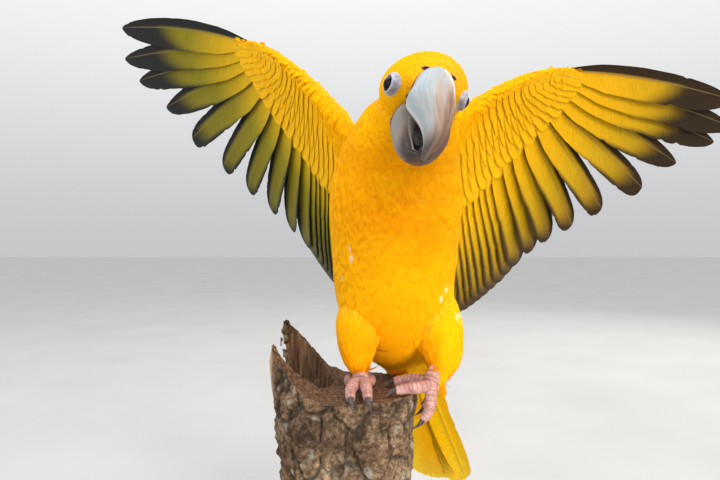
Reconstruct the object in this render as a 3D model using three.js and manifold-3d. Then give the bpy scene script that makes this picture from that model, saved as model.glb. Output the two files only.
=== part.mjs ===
// A golden parakeet, life size, gripping the rim of a short length of broken hollow branch, with both wings
// raised and half spread. Millimetres, +Z up. The bird faces -Y, and X runs to its left.
// Heights of the bird and the perch are counted from the rim under its feet, and the group lifts them to PERCH_Z.
import * as THREE from "three";
import { mergeVertices } from "three/addons/utils/BufferGeometryUtils.js";
import Module from "manifold-3d";

const wasm = await Module();
wasm.setup();

// Driving dimensions
const GAP = 0.3; // between pieces that touch
const PERCH_Z = 118; // rim under the feet, above the floor
const TAIL_LENGTH = 146;
const HEAD_WIDTH = 41.6;
const EYE_RADIUS = 4.2;
const BASE_RADIUS = 105;
const BASE_THICKNESS = 12;
const ROD_RADIUS = 4;

const deg = THREE.MathUtils.degToRad;
const vec = (x, y, z) => new THREE.Vector3(x, y, z);
const UP = vec(0, 0, 1);

const plumage = new THREE.MeshStandardMaterial({ color: 0xffc400, roughness: 0.85 });
const flightFeather = new THREE.MeshStandardMaterial({ color: 0x7a7a1a, roughness: 0.7 });
const horn = new THREE.MeshStandardMaterial({ color: 0xc9b8ab, roughness: 0.45 });
const tongueSkin = new THREE.MeshStandardMaterial({ color: 0x4a4442, roughness: 0.5 });
const eyeGloss = new THREE.MeshStandardMaterial({ color: 0x120c0a, roughness: 0.08 });
const footSkin = new THREE.MeshStandardMaterial({ color: 0xd79a8c, roughness: 0.6 });
const bark = new THREE.MeshStandardMaterial({ color: 0x8a6a48, roughness: 0.95 });
const baseWood = new THREE.MeshStandardMaterial({ color: 0x3b2a20, roughness: 0.5 });
const steel = new THREE.MeshStandardMaterial({ color: 0xb9bcc0, roughness: 0.3, metalness: 1 });

// Solids

// A three.js geometry as a solid, with its faces turned out.
function solidOf(geometry) {
  geometry.deleteAttribute("normal");
  geometry.deleteAttribute("uv");
  const merged = mergeVertices(geometry, 1e-4);
  const make = (triVerts) =>
    new wasm.Manifold(new wasm.Mesh({ numProp: 3, vertProperties: merged.attributes.position.array, triVerts }));
  const faces = new Uint32Array(merged.index.array);
  const made = make(faces);
  return made.volume() > 0 ? made : make(faces.reverse());
}

// A closed solid through rings of equally many points. The sides in turned are split along their other diagonal.
function loft(rings, turned = []) {
  const count = rings[0].length;
  const points = rings.flat();
  const faces = [];
  const middle = (ring) => ring.reduce((sum, p) => sum.add(p), vec(0, 0, 0)).divideScalar(count);
  const first = points.push(middle(rings[0])) - 1;
  const last = points.push(middle(rings.at(-1))) - 1;
  for (let j = 0; j < count; j++) {
    const next = (j + 1) % count;
    for (let r = 0; r + 1 < rings.length; r++) {
      const [a, b] = [r * count + j, r * count + next];
      const [c, d] = [a + count, b + count];
      faces.push(...(turned.includes(j) ? [a, b, c, b, d, c] : [a, b, d, a, d, c]));
    }
    const end = (rings.length - 1) * count;
    faces.push(first, next, j, last, end + j, end + next);
  }
  return solidOf(new THREE.BufferGeometry().setFromPoints(points).setIndex(faces));
}

// A value at share t of evenly spaced named sizes, on a smooth curve through them.
function smooth(sizes, t) {
  const line = new THREE.SplineCurve(sizes.map((size, i) => new THREE.Vector2(i, size)));
  return line.getPoint(t).y;
}

// A limb or trunk along a curve, oval in section, with half widths across and half depths fore and aft.
// shape moves each point of the surface.
function limb(points, halfWidths, halfDepths, { steps, sides, grow = 0, shape = (p) => p }) {
  const line = new THREE.CatmullRomCurve3(points, false, "centripetal");
  const knot = (t) => line.getPoint(t);
  const rings = [];
  for (let i = 0; i <= steps; i++) {
    const t = i / steps;
    const along = line.getTangent(t);
    const across = vec(1, 0, 0).addScaledVector(along, -along.x).normalize();
    const fore = along.clone().cross(across);
    const ring = [];
    for (let k = 0; k < sides; k++) {
      const turn = (2 * Math.PI * k) / sides;
      const point = knot(t)
        .addScaledVector(across, Math.cos(turn) * (smooth(halfWidths, t) + grow))
        .addScaledVector(fore, Math.sin(turn) * (smooth(halfDepths, t) + grow));
      ring.push(shape(point));
    }
    rings.push(ring);
  }
  return loft(rings);
}

function ball(centre, rx, ry, rz, segments = 16) {
  const geometry = new THREE.SphereGeometry(1, segments, segments / 2);
  return solidOf(geometry.rotateX(Math.PI / 2).scale(rx, ry, rz).translate(centre.x, centre.y, centre.z));
}

function box(low, high) {
  const size = high.clone().sub(low);
  const centre = low.clone().add(high).divideScalar(2);
  return solidOf(new THREE.BoxGeometry(size.x, size.y, size.z).translate(centre.x, centre.y, centre.z));
}

const join = (solids) => solids.reduce((sum, next) => sum.add(next));
const move = (made, matrix) => made.transform(matrix.toArray());

// The piece as a named mesh: its largest closed surface.
function mesh(name, made, material) {
  const largest = made.decompose().sort((a, b) => b.volume() - a.volume())[0];
  const { vertProperties, triVerts, numProp } = largest.getMesh();
  const points = [];
  for (let i = 0; i < vertProperties.length; i += numProp) points.push(vec(...vertProperties.slice(i, i + 3)));
  const geometry = new THREE.BufferGeometry().setFromPoints(points).setIndex([...triVerts]);
  geometry.computeVertexNormals();
  const piece = new THREE.Mesh(geometry, material);
  piece.name = name;
  return piece;
}

// Feathers

const POINTED = [[0, 0.3], [0.3, 0.95], [0.72, 0.86], [1, 0.12]];
const TAIL_VANE = [[0, 0.4], [0.5, 1], [0.9, 0.85], [1, 0.35]];
const ROUNDED = [[0, 0.35], [0.35, 0.95], [0.84, 0.95], [1, 0.34]];
const COVERT = [[0, 0.6], [0.6, 1], [1, 0.35]];
const SAG = 0.02; // how far a vane falls away to its edges, of its width
const EDGE = 0.5; // thickness of a vane at its edge
const SHAFT = 1.1; // and at its shaft

// One feather as a thin blade. along, lead and up are unit vectors: to its tip, to its leading edge, to its upper face.
// It bends down by droop and back by sweep, as shares of its length, and rolls its leading edge up.
function feather({ root, along, lead, up, length, width, shape, droop = 0, sweep = 0, roll = 0, ahead = 0.4 }) {
  const turn = new THREE.Quaternion().setFromAxisAngle(along, roll);
  if (lead.clone().applyQuaternion(turn).dot(up) < 0) turn.invert();
  const edgeward = lead.clone().applyQuaternion(turn);
  const facing = up.clone().applyQuaternion(turn);
  const rings = shape.map(([t, share]) => {
    const shaft = root
      .clone()
      .addScaledVector(along, length * t)
      .addScaledVector(up, -droop * length * t * t)
      .addScaledVector(lead, -sweep * length * t * t);
    const at = (across, lift) => shaft.clone().addScaledVector(edgeward, across).addScaledVector(facing, lift);
    const [fore, aft] = [width * share * ahead, -width * share * (1 - ahead)];
    const sag = SAG * width * share;
    const half = (SHAFT / 2) * (1 - 0.4 * t);
    return [
      at(fore, EDGE / 2 - sag),
      at(0, half),
      at(aft, EDGE / 2 - sag),
      at(aft, -EDGE / 2 - sag),
      at(0, -half),
      at(fore, -EDGE / 2 - sag),
    ];
  });
  return loft(rings, [3, 4]);
}

// A small covering feather, flat across.
function covert({ root, along, lead, up, length, width, droop = 0, roll = 0 }) {
  const edgeward = lead.clone().multiplyScalar(Math.cos(roll)).addScaledVector(up, Math.sin(roll));
  const rings = COVERT.map(([t, share]) => {
    const shaft = root.clone().addScaledVector(along, length * t).addScaledVector(up, -droop * length * t * t);
    const half = (width * share) / 2;
    const at = (across, lift) => shaft.clone().addScaledVector(edgeward, across).addScaledVector(up, lift);
    return [at(half, 0.3), at(-half, 0.3), at(-half, -0.3), at(half, -0.3)];
  });
  return loft(rings, [2]);
}

// Torso and neck: one trunk, leaning forward as it rises, parted where the neck begins

const SPINE = [
  vec(4, 25, 4),
  vec(3, 21, 14),
  vec(2, 15, 30),
  vec(0, 9, 50),
  vec(0, 4, 74),
  vec(0, -2, 96),
  vec(1, -8, 112),
  vec(4, -17, 126),
  vec(8, -27, 137),
  vec(9.8, -33, 142.5),
];
const TRUNK_HALF_WIDTHS = [8, 20, 29, 34, 35.8, 36.8, 35, 30, 24.5, 19];
const TRUNK_HALF_DEPTHS = [6, 15, 24, 30.5, 34, 35, 32, 26, 21, 14.5];
const trunk = (grow) => limb(SPINE, TRUNK_HALF_WIDTHS, TRUNK_HALF_DEPTHS, { steps: 18, sides: 24, grow });

// Head, built about its own centre with +Z up and the bill towards -Y, then turned and set on the neck

const HEAD_CENTRE = vec(10.8, -42, 147);
const HEAD_TURN = deg(12); // towards its left
const HEAD_ROLL = deg(15); // crown towards its left
const HEAD_NOD = deg(7);
const headPose = new THREE.Matrix4().makeTranslation(HEAD_CENTRE.x, HEAD_CENTRE.y, HEAD_CENTRE.z);
headPose.multiply(new THREE.Matrix4().makeRotationZ(HEAD_TURN));
headPose.multiply(new THREE.Matrix4().makeRotationY(HEAD_ROLL));
headPose.multiply(new THREE.Matrix4().makeRotationX(HEAD_NOD));

const SKULL_LINE = [[26, 0], [20, 0], [11, 0], [0, 0], [-5, 0], [-9, 0.3], [-12, 0.9], [-15.4, 1.8], [-19.5, 2.6]];
const skullLine = SKULL_LINE.map(([y, z]) => vec(0, y, z));
const SKULL_HALF_WIDTHS = [7, 14.6, 19.6, HEAD_WIDTH / 2, 19.2, 16.2, 13, 9.6, 5.6];
const SKULL_HALF_HEIGHTS = [7, 13.4, 16.6, 17.8, 17.8, 16.6, 14.4, 10.6, 5.5];
const CROWN_LEAN = 0.14; // how far it leans to its left for each millimetre above its eyes
const CHEEK = { below: -1, perMillimetre: 0.06, least: 0.3 }; // its front draws back below the bill's middle
// The line runs forward, so fore and aft of the section is up and down.
function skull(grow) {
  const shape = ({ x, y, z }) => {
    const drawnBack = Math.max(1 - CHEEK.perMillimetre * Math.max(0, CHEEK.below - grow - z), CHEEK.least);
    return vec(x + CROWN_LEAN * (z - EYE.up), y < 0 ? y * drawnBack : y, z);
  };
  return limb(skullLine, SKULL_HALF_WIDTHS, SKULL_HALF_HEIGHTS, { steps: 12, sides: 20, grow, shape });
}

// The eye is set in the side of the face, inside a disc of bare skin with a raised lid round it.
const EYE = { ahead: 6.2, up: -2.2, out: 16, lean: 1.5, tilt: 14 };
const eyeCentre = (side) => vec(side * EYE.out, -EYE.ahead, EYE.up + side * EYE.lean);
const BARE_SKIN_RADIUS = 6.8;
const LID_RADIUS = 4;
const eyeTilt = (side) => new THREE.Matrix4().makeRotationZ(-side * deg(EYE.tilt));
function atEye(made, side) {
  const place = new THREE.Matrix4().makeTranslation(...eyeCentre(side)).multiply(eyeTilt(side));
  return move(made, place);
}
const eyeball = (side, grow = 0) => atEye(ball(vec(0, 0, 0), ...Array(3).fill(EYE_RADIUS + grow), 14), side);
function bareSkin(side, grow = 0) {
  const disc = ball(vec(side * 0.2, 0, 0), 4 + grow, BARE_SKIN_RADIUS + grow, BARE_SKIN_RADIUS + grow, 14);
  return atEye(disc, side);
}
function lid(side) {
  const ring = new THREE.TorusGeometry(LID_RADIUS, 1, 5, 14).rotateY(Math.PI / 2).translate(side * 2.6, 0, 0);
  return atEye(solidOf(ring), side);
}
const NOSTRIL = { ahead: 18.2, up: 5.6, out: 5.6, radius: 1.2 };
function nostril(side) {
  return ball(vec(side * NOSTRIL.out, -NOSTRIL.ahead, NOSTRIL.up), ...Array(3).fill(NOSTRIL.radius), 10);
}
const BILL_GAP = 0.6; // round the cere and cheeks, where the two faceted forms turn a corner
const cere = (grow = 0) => ball(vec(0, -16.5, 4.5), 8 + grow, 4.2 + grow, 5 + grow, 12);

// Bill: each station gives the ridge, the cutting edge and the half width, as [forward, up] pairs

const UPPER_BILL = {
  ridge: [[12, 6], [21, 6.6], [28, 1.4], [32.4, -6], [33.4, -15], [32, -25], [28.5, -34.6]],
  edge: [[8, -10.6], [16, -11.5], [21, -13.9], [23.5, -17], [25, -21.4], [26.3, -29], [27.3, -33.4]],
  halfWidth: [9.2, 8.7, 9.4, 10.4, 6.7, 3.1, 1],
  aside: [0, -0.9, -1.9, 2.7, 0.9], // how far the middle of the bill bends to its left
};
const LOWER_BILL = {
  ridge: [[5, -28.7], [12, -32], [18, -36.2], [22.5, -35.2], [25.2, -32]],
  edge: [[5, -10.3], [12, -9], [17, -16.5], [20.5, -23.6], [23.2, -30]],
  halfWidth: [13.1, 13.7, 10.8, 7.6, 4],
  aside: [1.6, 0.3, -1, -0.8],
};
const ROOF_FULLNESS = 1.05;
const CHEEK_FULLNESS = 0.4; // how full each half stays down to its cutting edge
function billHalf({ ridge, edge, halfWidth, aside }, { steps, sides, grow = 0 }) {
  const flat = ([forward, up]) => vec(0, -forward, up);
  const [ridgeLine, edgeLine] = [ridge, edge].map((line) => new THREE.CatmullRomCurve3(line.map(flat)));
  const rings = [];
  for (let i = 0; i <= steps; i++) {
    const t = i / steps;
    const [top, low] = [ridgeLine.getPoint(t), edgeLine.getPoint(t)];
    const middle = top.clone().add(low).divideScalar(2);
    const reach = top.clone().sub(low).divideScalar(2);
    reach.setLength(reach.length() + grow);
    const across = Math.max(smooth(halfWidth, t), 0.5) + grow;
    const ring = [];
    for (let k = 0; k < sides; k++) {
      const turn = (2 * Math.PI * k) / sides;
      const [lift, side] = [Math.cos(turn), Math.sin(turn)];
      const bulge = Math.sign(side) * Math.abs(side) ** (lift < 0 ? CHEEK_FULLNESS : ROOF_FULLNESS);
      ring.push(
        middle
          .clone()
          .addScaledVector(reach, lift)
          .add(vec(across * bulge + smooth(aside, t), 0, 0)),
      );
    }
    rings.push(ring);
  }
  return loft(rings);
}
// The mouth is a hollow in the lower half, and the tongue lies in it up to a slanting top.
const MOUTH = { centre: vec(0, -14.5, -18.5), half: [7.2, 8.2, 9.5], tongueTop: -18 };
const mouth = ball(MOUTH.centre, ...MOUTH.half);
const tongueShape = ball(MOUTH.centre, ...MOUTH.half.map((r) => r - GAP)).subtract(
  box(vec(-20, -40, MOUTH.tongueTop), vec(20, 10, 20)),
);

function headPieces() {
  const upperRaw = billHalf(UPPER_BILL, { steps: 10, sides: 16 });
  const lowerRaw = billHalf(LOWER_BILL, { steps: 8, sides: 16 });
  const upperGrown = billHalf(UPPER_BILL, { steps: 10, sides: 16, grow: 0.7 });
  const sides = [-1, 1];
  const face = join([skull(0), cere(), ...sides.map((s) => bareSkin(s)), ...sides.map(lid)]);
  const head = [...sides.map((s) => eyeball(s, GAP)), ...sides.map(nostril)].reduce((a, b) => a.subtract(b), face);
  const ahead = new THREE.Matrix4().makeTranslation(0, -GAP, 0); // the skull's flat front end moves out too
  const skulls = [skull(BILL_GAP), move(skull(BILL_GAP), ahead)];
  const grown = join([...skulls, cere(BILL_GAP), ...sides.map((s) => bareSkin(s, GAP))]);
  return {
    head: move(head, headPose),
    billUpper: move(upperRaw.subtract(grown), headPose),
    billLower: move(lowerRaw.subtract(upperGrown).subtract(grown).subtract(mouth), headPose),
    tongue: move(tongueShape.subtract(grown).subtract(upperGrown), headPose),
    eyeRight: move(eyeball(-1), headPose),
    eyeLeft: move(eyeball(1), headPose),
    headGrown: move(join([skull(GAP), ...sides.map((s) => bareSkin(s, GAP))]), headPose),
  };
}

// Wings: each is laid out flat, as out along its longest primary and back towards its trailing edge, then placed

// Where each flight feather leaves the wing, outermost first, and how long it is
const ROOTS = [
  [84, -53], [80, -50], [76, -46], [72, -42], [67, -37], [62, -32], [56, -26], [50, -20],
  [44, -14], [38, -8], [32, -2], [26, 4], [20, 9], [13, 13], [6, 16], [-1, 18],
];
const LENGTHS = [168, 184, 174, 146, 128, 109, 102, 100, 102, 106, 110, 110, 110, 110, 108, 105];
const PRIMARY_COUNT = 10;
const FEATHER_WIDTH = 20.5;
const COVERTS = { count: 10, width: 17.5, lift: 2.8 };
const SHINGLE = deg(11); // each feather rolls its leading edge over the one outside it
// Leading edge, trailing edge and thickness of the arm and hand at each station
const ARM = {
  lead: [[-14, -10], [4, -27], [18, -37], [33, -45], [49, -51], [68, -55], [84, -56], [94, -55]],
  trail: [[-8, 26], [8, 22], [20, 14], [34, 2], [48, -14], [62, -29], [78, -44], [90, -51]],
  thickness: [11, 15, 14, 12, 10, 8.5, 6, 3],
};
const AEROFOIL = [[0, 0], [0.12, 0.5], [0.4, 0.6], [0.75, 0.35], [1, 0.1], [0.75, -0.3], [0.4, -0.45], [0.12, -0.42]];

const WINGS = {
  right: {
    shoulder: vec(-24, 8, 126),
    out: vec(-0.675, 0.675, 0.297),
    innerFeather: vec(-0.122, 0.676, -0.725),
    side: -1,
    fan: [-6, 2, 6.5, 14, 24, 37, 47, 56, 63, 67, 69, 70, 70.5, 71, 71.5, 72],
  },
  left: {
    shoulder: vec(24, 8, 124),
    out: vec(0.862, 0.503, 0.062),
    innerFeather: vec(0.12, 0.494, -0.861),
    side: 1,
    fan: [-3, 3, 6, 13, 22, 34, 42.5, 48, 50.5, 53, 55.5, 58.5, 60.5, 61.5, 62.5, 63.5],
  },
};

function wing({ shoulder, out, innerFeather, side, fan }) {
  const e1 = out.clone().normalize();
  const e2 = innerFeather.clone().addScaledVector(e1, -innerFeather.dot(e1)).normalize();
  const dorsal = e1.clone().cross(e2).multiplyScalar(side);
  const place = ([a, b], lift = 0) =>
    shoulder.clone().addScaledVector(e1, a).addScaledVector(e2, b).addScaledVector(dorsal, lift);
  const between = (from, to, t) => [from[0] + (to[0] - from[0]) * t, from[1] + (to[1] - from[1]) * t];

  const body = loft(
    ARM.lead.map((lead, i) =>
      AEROFOIL.map(([chord, lift]) => place(between(lead, ARM.trail[i], chord), lift * ARM.thickness[i])),
    ),
  );

  const axes = (angle) => ({
    along: e1.clone().multiplyScalar(Math.cos(angle)).addScaledVector(e2, Math.sin(angle)),
    lead: e1.clone().multiplyScalar(Math.sin(angle)).addScaledVector(e2, -Math.cos(angle)),
    up: dorsal,
  });
  const flight = ROOTS.map((root, i) => {
    const inward = THREE.MathUtils.smoothstep(i, 4, PRIMARY_COUNT); // 0 for the outer primaries, 1 for secondaries
    return feather({
      ...axes(deg(fan[i])),
      root: place(root),
      length: LENGTHS[i],
      width: FEATHER_WIDTH,
      shape: i < 4 ? POINTED : ROUNDED,
      droop: THREE.MathUtils.lerp(0.06, -0.12, inward),
      sweep: i === 0 ? 0.08 : THREE.MathUtils.lerp(0.06, 0.03, inward),
      roll: SHINGLE,
      ahead: THREE.MathUtils.lerp(0.32, 0.42, inward),
    });
  });

  // A tier of coverts on one face, over the roots of the flight feathers.
  const tier = (face, { length, behind, count }) =>
    Array.from({ length: count }, (_, i) => {
      const station = THREE.MathUtils.lerp(1.2, ROOTS.length - 1, (i + 0.4) / count);
      const [before, after, share] = [Math.floor(station), Math.ceil(station), station % 1];
      const frame = axes(deg(THREE.MathUtils.lerp(fan[before], fan[after], share)));
      const root = place(between(ROOTS[before], ROOTS[after], share), face * COVERTS.lift);
      root.addScaledVector(frame.along, -behind);
      return covert({ ...frame, root, length, width: COVERTS.width, droop: face * 0.02, roll: SHINGLE });
    });
  const coverts = [
    ...tier(-1, { length: 26, behind: 8, count: COVERTS.count }),
    ...tier(1, { length: 40, behind: 8, count: COVERTS.count }),
    ...tier(1, { length: 27, behind: 14, count: COVERTS.count - 1 }),
  ];
  return join([body, ...flight, ...coverts]);
}

// Tail: twelve graduated feathers, spread a little, with coverts over their roots

const TAIL = {
  root: vec(9, 21, 17),
  direction: vec(36, 91, -114).normalize(),
  halfSpread: deg(5.8),
  width: 17,
  step: 1.5, // each feather lies this far below the next one inward
  shorten: 0.16,
};
function tail() {
  const { root, direction, halfSpread, width, shorten } = TAIL;
  const across = direction.clone().cross(UP).normalize();
  const up = across.clone().cross(direction);
  const core = limb(
    [-12, 2, 16, 30].map((d) => root.clone().addScaledVector(direction, d).addScaledVector(up, -3)),
    [11, 12.5, 11, 8],
    [9, 9.5, 6, 2],
    { steps: 5, sides: 12 },
  );
  const half = 6;
  const vanes = [];
  for (const side of [-1, 1]) {
    for (let i = 0; i < half; i++) {
      const share = (i + 0.5) / half;
      const turn = new THREE.Quaternion().setFromAxisAngle(up, -side * share * halfSpread);
      const along = direction.clone().applyQuaternion(turn);
      const lead = across.clone().multiplyScalar(side).applyQuaternion(turn);
      vanes.push(
        feather({
          root: root.clone().addScaledVector(across, side * share * 7).addScaledVector(up, 1.5 - share * TAIL.step * half),
          along,
          lead,
          up,
          length: TAIL_LENGTH * (1 - shorten * share * share),
          width,
          shape: TAIL_VANE,
          droop: 0.02,
          ahead: 0.45,
        }),
      );
    }
  }
  const cover = [-0.5, 0.5].flatMap((column) =>
    [1, -1].map((face) =>
      covert({
        root: root.clone().addScaledVector(across, column * 9).addScaledVector(up, face > 0 ? 4.6 : -6.2),
        along: direction.clone().addScaledVector(across, column * 0.06).normalize(),
        lead: across,
        up,
        length: face > 0 ? 48 : 62,
        width: 15,
        droop: face * 0.02,
      }),
    ),
  );
  return join([core, ...vanes, ...cover]);
}

// Legs: feathered thighs, then bare feet with two toes forward and two back

const THIGHS = {
  right: { line: [vec(-15, 4, 52), vec(-19, -2, 34), vec(-20, -9, 19), vec(-18.5, -13, 10)], radii: [13, 14, 10.5, 6] },
  left: { line: [vec(18, 4, 52), vec(22.5, 0, 34), vec(24.5, -6, 18), vec(22, -12, 8)], radii: [13, 14.5, 12, 7] },
};
const thigh = ({ line, radii }, grow = 0) => limb(line, radii, radii, { steps: 7, sides: 14, grow });

// A round tube along a curve, with its radius at each end and in the middle.
function tube(points, radii, { steps, sides }) {
  const line = new THREE.CatmullRomCurve3(points);
  const frames = line.computeFrenetFrames(steps, false);
  const rings = frames.tangents.map((_, i) => {
    const t = i / steps;
    return Array.from({ length: sides }, (__, k) => {
      const turn = (2 * Math.PI * k) / sides;
      const radius = smooth(radii, t);
      return line
        .getPoint(t)
        .addScaledVector(frames.normals[i], Math.cos(turn) * radius)
        .addScaledVector(frames.binormals[i], Math.sin(turn) * radius);
    });
  });
  return loft(rings);
}

const TOE_RADII = [3.1, 3, 2.9, 2.6, 2.1];
const CLAW_RADII = [1.6, 1.3, 0.8, 0.3];
// A toe follows its points. Its claw goes on from the last two of them and bends towards down.
function toe(points, clawDown, clawLength = 6.5) {
  const tip = points.at(-1);
  const heading = tip.clone().sub(points.at(-2)).normalize();
  const clawPoints = [-1.5, 0.35, 0.7, 1].map((t) =>
    tip
      .clone()
      .addScaledVector(heading, t < 0 ? t : clawLength * t * (1 - 0.35 * t))
      .addScaledVector(clawDown, t < 0 ? 0 : clawLength * 0.75 * t * t),
  );
  return join([
    tube(points, TOE_RADII, { steps: 5, sides: 7 }),
    tube(clawPoints, CLAW_RADII, { steps: 3, sides: 5 }),
  ]);
}
const FEET = {
  right: {
    ankle: vec(-18.5, -10, 14),
    palm: vec(-18.5, -15, 6),
    toes: [
      { points: [vec(-18.5, -15, 5.4), vec(-21.5, -22, 6.4), vec(-23.4, -29, 5), vec(-23.2, -34, 2.4)], down: vec(0.35, 0.25, -0.8) },
      { points: [vec(-18.5, -15, 5.4), vec(-16.4, -22, 6.4), vec(-15.4, -29, 5), vec(-15, -34, 2.4)], down: vec(0.3, 0.25, -0.8) },
      { points: [vec(-18.5, -15, 5.4), vec(-14.4, -9, 4.6), vec(-13, -3, 3.8), vec(-12.8, 4, 3)], down: vec(0, 0.2, -0.5) },
      { points: [vec(-18.5, -14, 5), vec(-22.6, -9, 4), vec(-24.6, -3, 3.4), vec(-25, 4, 3)], down: vec(0, 0.2, -0.5) },
    ],
  },
  left: {
    ankle: vec(21, -11, 13),
    palm: vec(17.5, -15, 6),
    toes: [
      { points: [vec(17.5, -17, 4.6), vec(11, -21, 4.6), vec(5, -22, 4.2), vec(-1, -22.5, 3.6)], down: vec(-0.1, -0.3, -0.45) },
      { points: [vec(17.5, -13, 5.4), vec(11, -7, 5), vec(5, -4, 4.2), vec(-1, -4, 3.4)], down: vec(-0.1, -0.3, -0.45) },
      { points: [vec(17, -17, 5), vec(16.6, -21, 0), vec(15.6, -22.5, -6), vec(12.4, -23, -11)], down: vec(-0.7, 0, -0.2) },
      { points: [vec(17.5, -13, 5), vec(19.6, -7, 2), vec(18.6, -3, -5), vec(15.4, -2, -11)], down: vec(-0.7, 0, -0.2) },
    ],
  },
};
function foot({ ankle, palm, toes }) {
  const shank = tube([ankle, ankle.clone().lerp(palm, 0.5), palm], [3.6, 3.8, 4.4], { steps: 2, sides: 8 });
  return join([shank, ball(palm, 5, 5, 4, 10), ...toes.map(({ points, down }) => toe(points, down))]);
}

// Perch: a short length of broken hollow branch, sawn flat below and at one side, with a ragged rim above

const PERCH = {
  centre: vec(-27, 2, 0),
  halfWidth: 40,
  halfDepth: 36,
  bottom: -60,
  sawnSide: -66,
  frontRise: { from: -42, slope: 0.95 },
  backRise: { from: -34, slope: 1.2 },
};
// A fixed unevenness of about 1, from a few waves.
const rough = (a, b) => Math.sin(a * 3 + b * 1.7) * 0.5 + Math.sin(a * 7 - b * 2.3) * 0.3 + Math.sin(a * 13 + b * 4.1) * 0.2;
// The rim is level under the feet and climbs away from them, higher at the back.
function rimHeight(x, y) {
  const climb = ({ from, slope }) => Math.max(0, from - x) * slope;
  const back = THREE.MathUtils.smoothstep(y, -4, 22);
  return THREE.MathUtils.lerp(climb(PERCH.frontRise), climb(PERCH.backRise), back);
}
function perch(grow) {
  const { centre, halfWidth, halfDepth, bottom, sawnSide } = PERCH;
  const sides = 32;
  const square = (x) => Math.sign(x) * Math.abs(x) ** 0.8;
  const spot = (k, level, share) => {
    const turn = (2 * Math.PI * k) / sides;
    const lump = 1 + 0.035 * rough(turn, level * 4) - 0.13 * (1 - level);
    return [
      centre.x + square(Math.cos(turn)) * (halfWidth * lump + grow) * share,
      centre.y + square(Math.sin(turn)) * (halfDepth * lump + grow) * share,
    ];
  };
  const ring = (level, share, drop) =>
    Array.from({ length: sides }, (_, k) => {
      const [x, y] = spot(k, level, share);
      return vec(x, y, THREE.MathUtils.lerp(bottom, rimHeight(x, y) - drop, level) + (level > 0 ? grow : -grow));
    });
  const sheath = [0, 0.25, 0.5, 0.75, 0.92].map((level) => ring(level, 1, 2));
  const top = [[0.97, 0.2], [0.7, 0], [0.35, 0]].map(([share, drop]) => ring(1, share, drop));
  const hollow = limb(
    [vec(-52, 10, -34), vec(-50, 10, -12), vec(-49, 9, 14), vec(-49, 9, 70)],
    [9, 15, 18, 20],
    [8, 13, 17, 19],
    { steps: 6, sides: 16, grow: -grow },
  );
  const offcut = box(vec(-200, -100, -100), vec(sawnSide - grow, 100, 100));
  return loft([...sheath, ...top]).subtract(hollow).subtract(offcut);
}

// Stand: a turned round base and two rods up to the perch

function standBase() {
  const bevel = 2.5;
  const profile = [
    [0, 0],
    [BASE_RADIUS, 0],
    [BASE_RADIUS, BASE_THICKNESS - bevel],
    [BASE_RADIUS - bevel * 0.3, BASE_THICKNESS - bevel * 0.3],
    [BASE_RADIUS - bevel, BASE_THICKNESS],
    [0, BASE_THICKNESS],
  ].map(([r, z]) => new THREE.Vector2(r, z));
  return solidOf(new THREE.LatheGeometry(profile, 40).rotateX(Math.PI / 2));
}
const ROD_PLACES = { stand_rod_a: [-46, 4], stand_rod_b: [-14, 4] };
function rod([x, y]) {
  const [low, high] = [BASE_THICKNESS + GAP, PERCH_Z + PERCH.bottom - GAP];
  const geometry = new THREE.CylinderGeometry(ROD_RADIUS, ROD_RADIUS, high - low, 20).rotateX(Math.PI / 2);
  return solidOf(geometry.translate(x, y, (low + high) / 2));
}

// Putting the bird together: each piece is cut clear of what carries it

const head = headPieces();
const NECK_START = 118; // height where the neck leaves the torso
const trunkSolid = trunk(0).subtract(head.headGrown);
const torso = trunkSolid.subtract(box(vec(-90, -120, NECK_START), vec(90, 90, 300)));
const neck = trunkSolid.subtract(box(vec(-90, -120, -50), vec(90, 90, NECK_START + GAP)));
const trunkGrown = trunk(GAP);
const perchSolid = perch(0);
const perchGrown = perch(GAP);

const bird = new THREE.Group();
bird.position.z = PERCH_Z;
bird.add(mesh("torso", torso, plumage));
bird.add(mesh("neck", neck, plumage));
bird.add(mesh("head", head.head, plumage));
bird.add(mesh("bill_upper", head.billUpper, horn));
bird.add(mesh("bill_lower", head.billLower.subtract(trunkGrown), horn));
bird.add(mesh("tongue", head.tongue, tongueSkin));
bird.add(mesh("eye_right", head.eyeRight, eyeGloss));
bird.add(mesh("eye_left", head.eyeLeft, eyeGloss));
bird.add(mesh("tail", tail().subtract(trunkGrown).subtract(perchGrown), flightFeather));
for (const side of ["right", "left"]) {
  const leg = thigh(THIGHS[side]);
  const legGrown = thigh(THIGHS[side], GAP);
  const wingSolid = wing(WINGS[side]).subtract(trunkGrown).subtract(head.headGrown);
  bird.add(mesh(`wing_${side}`, wingSolid, flightFeather));
  bird.add(mesh(`thigh_${side}`, leg.subtract(trunkGrown).subtract(perchGrown), plumage));
  const bare = foot(FEET[side]).subtract(perchGrown).subtract(legGrown).subtract(trunkGrown);
  bird.add(mesh(`foot_${side}`, bare, footSkin));
}
bird.add(mesh("perch", perchSolid, bark));

const group = new THREE.Group();
group.add(bird);
group.add(mesh("stand_base", standBase(), baseWood));
for (const [name, place] of Object.entries(ROD_PLACES)) group.add(mesh(name, rod(place), steel));

export default group;
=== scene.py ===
import math

import bpy
import numpy as np
from mathutils import Matrix, Vector, kdtree, noise
from mathutils.bvhtree import BVHTree


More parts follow.
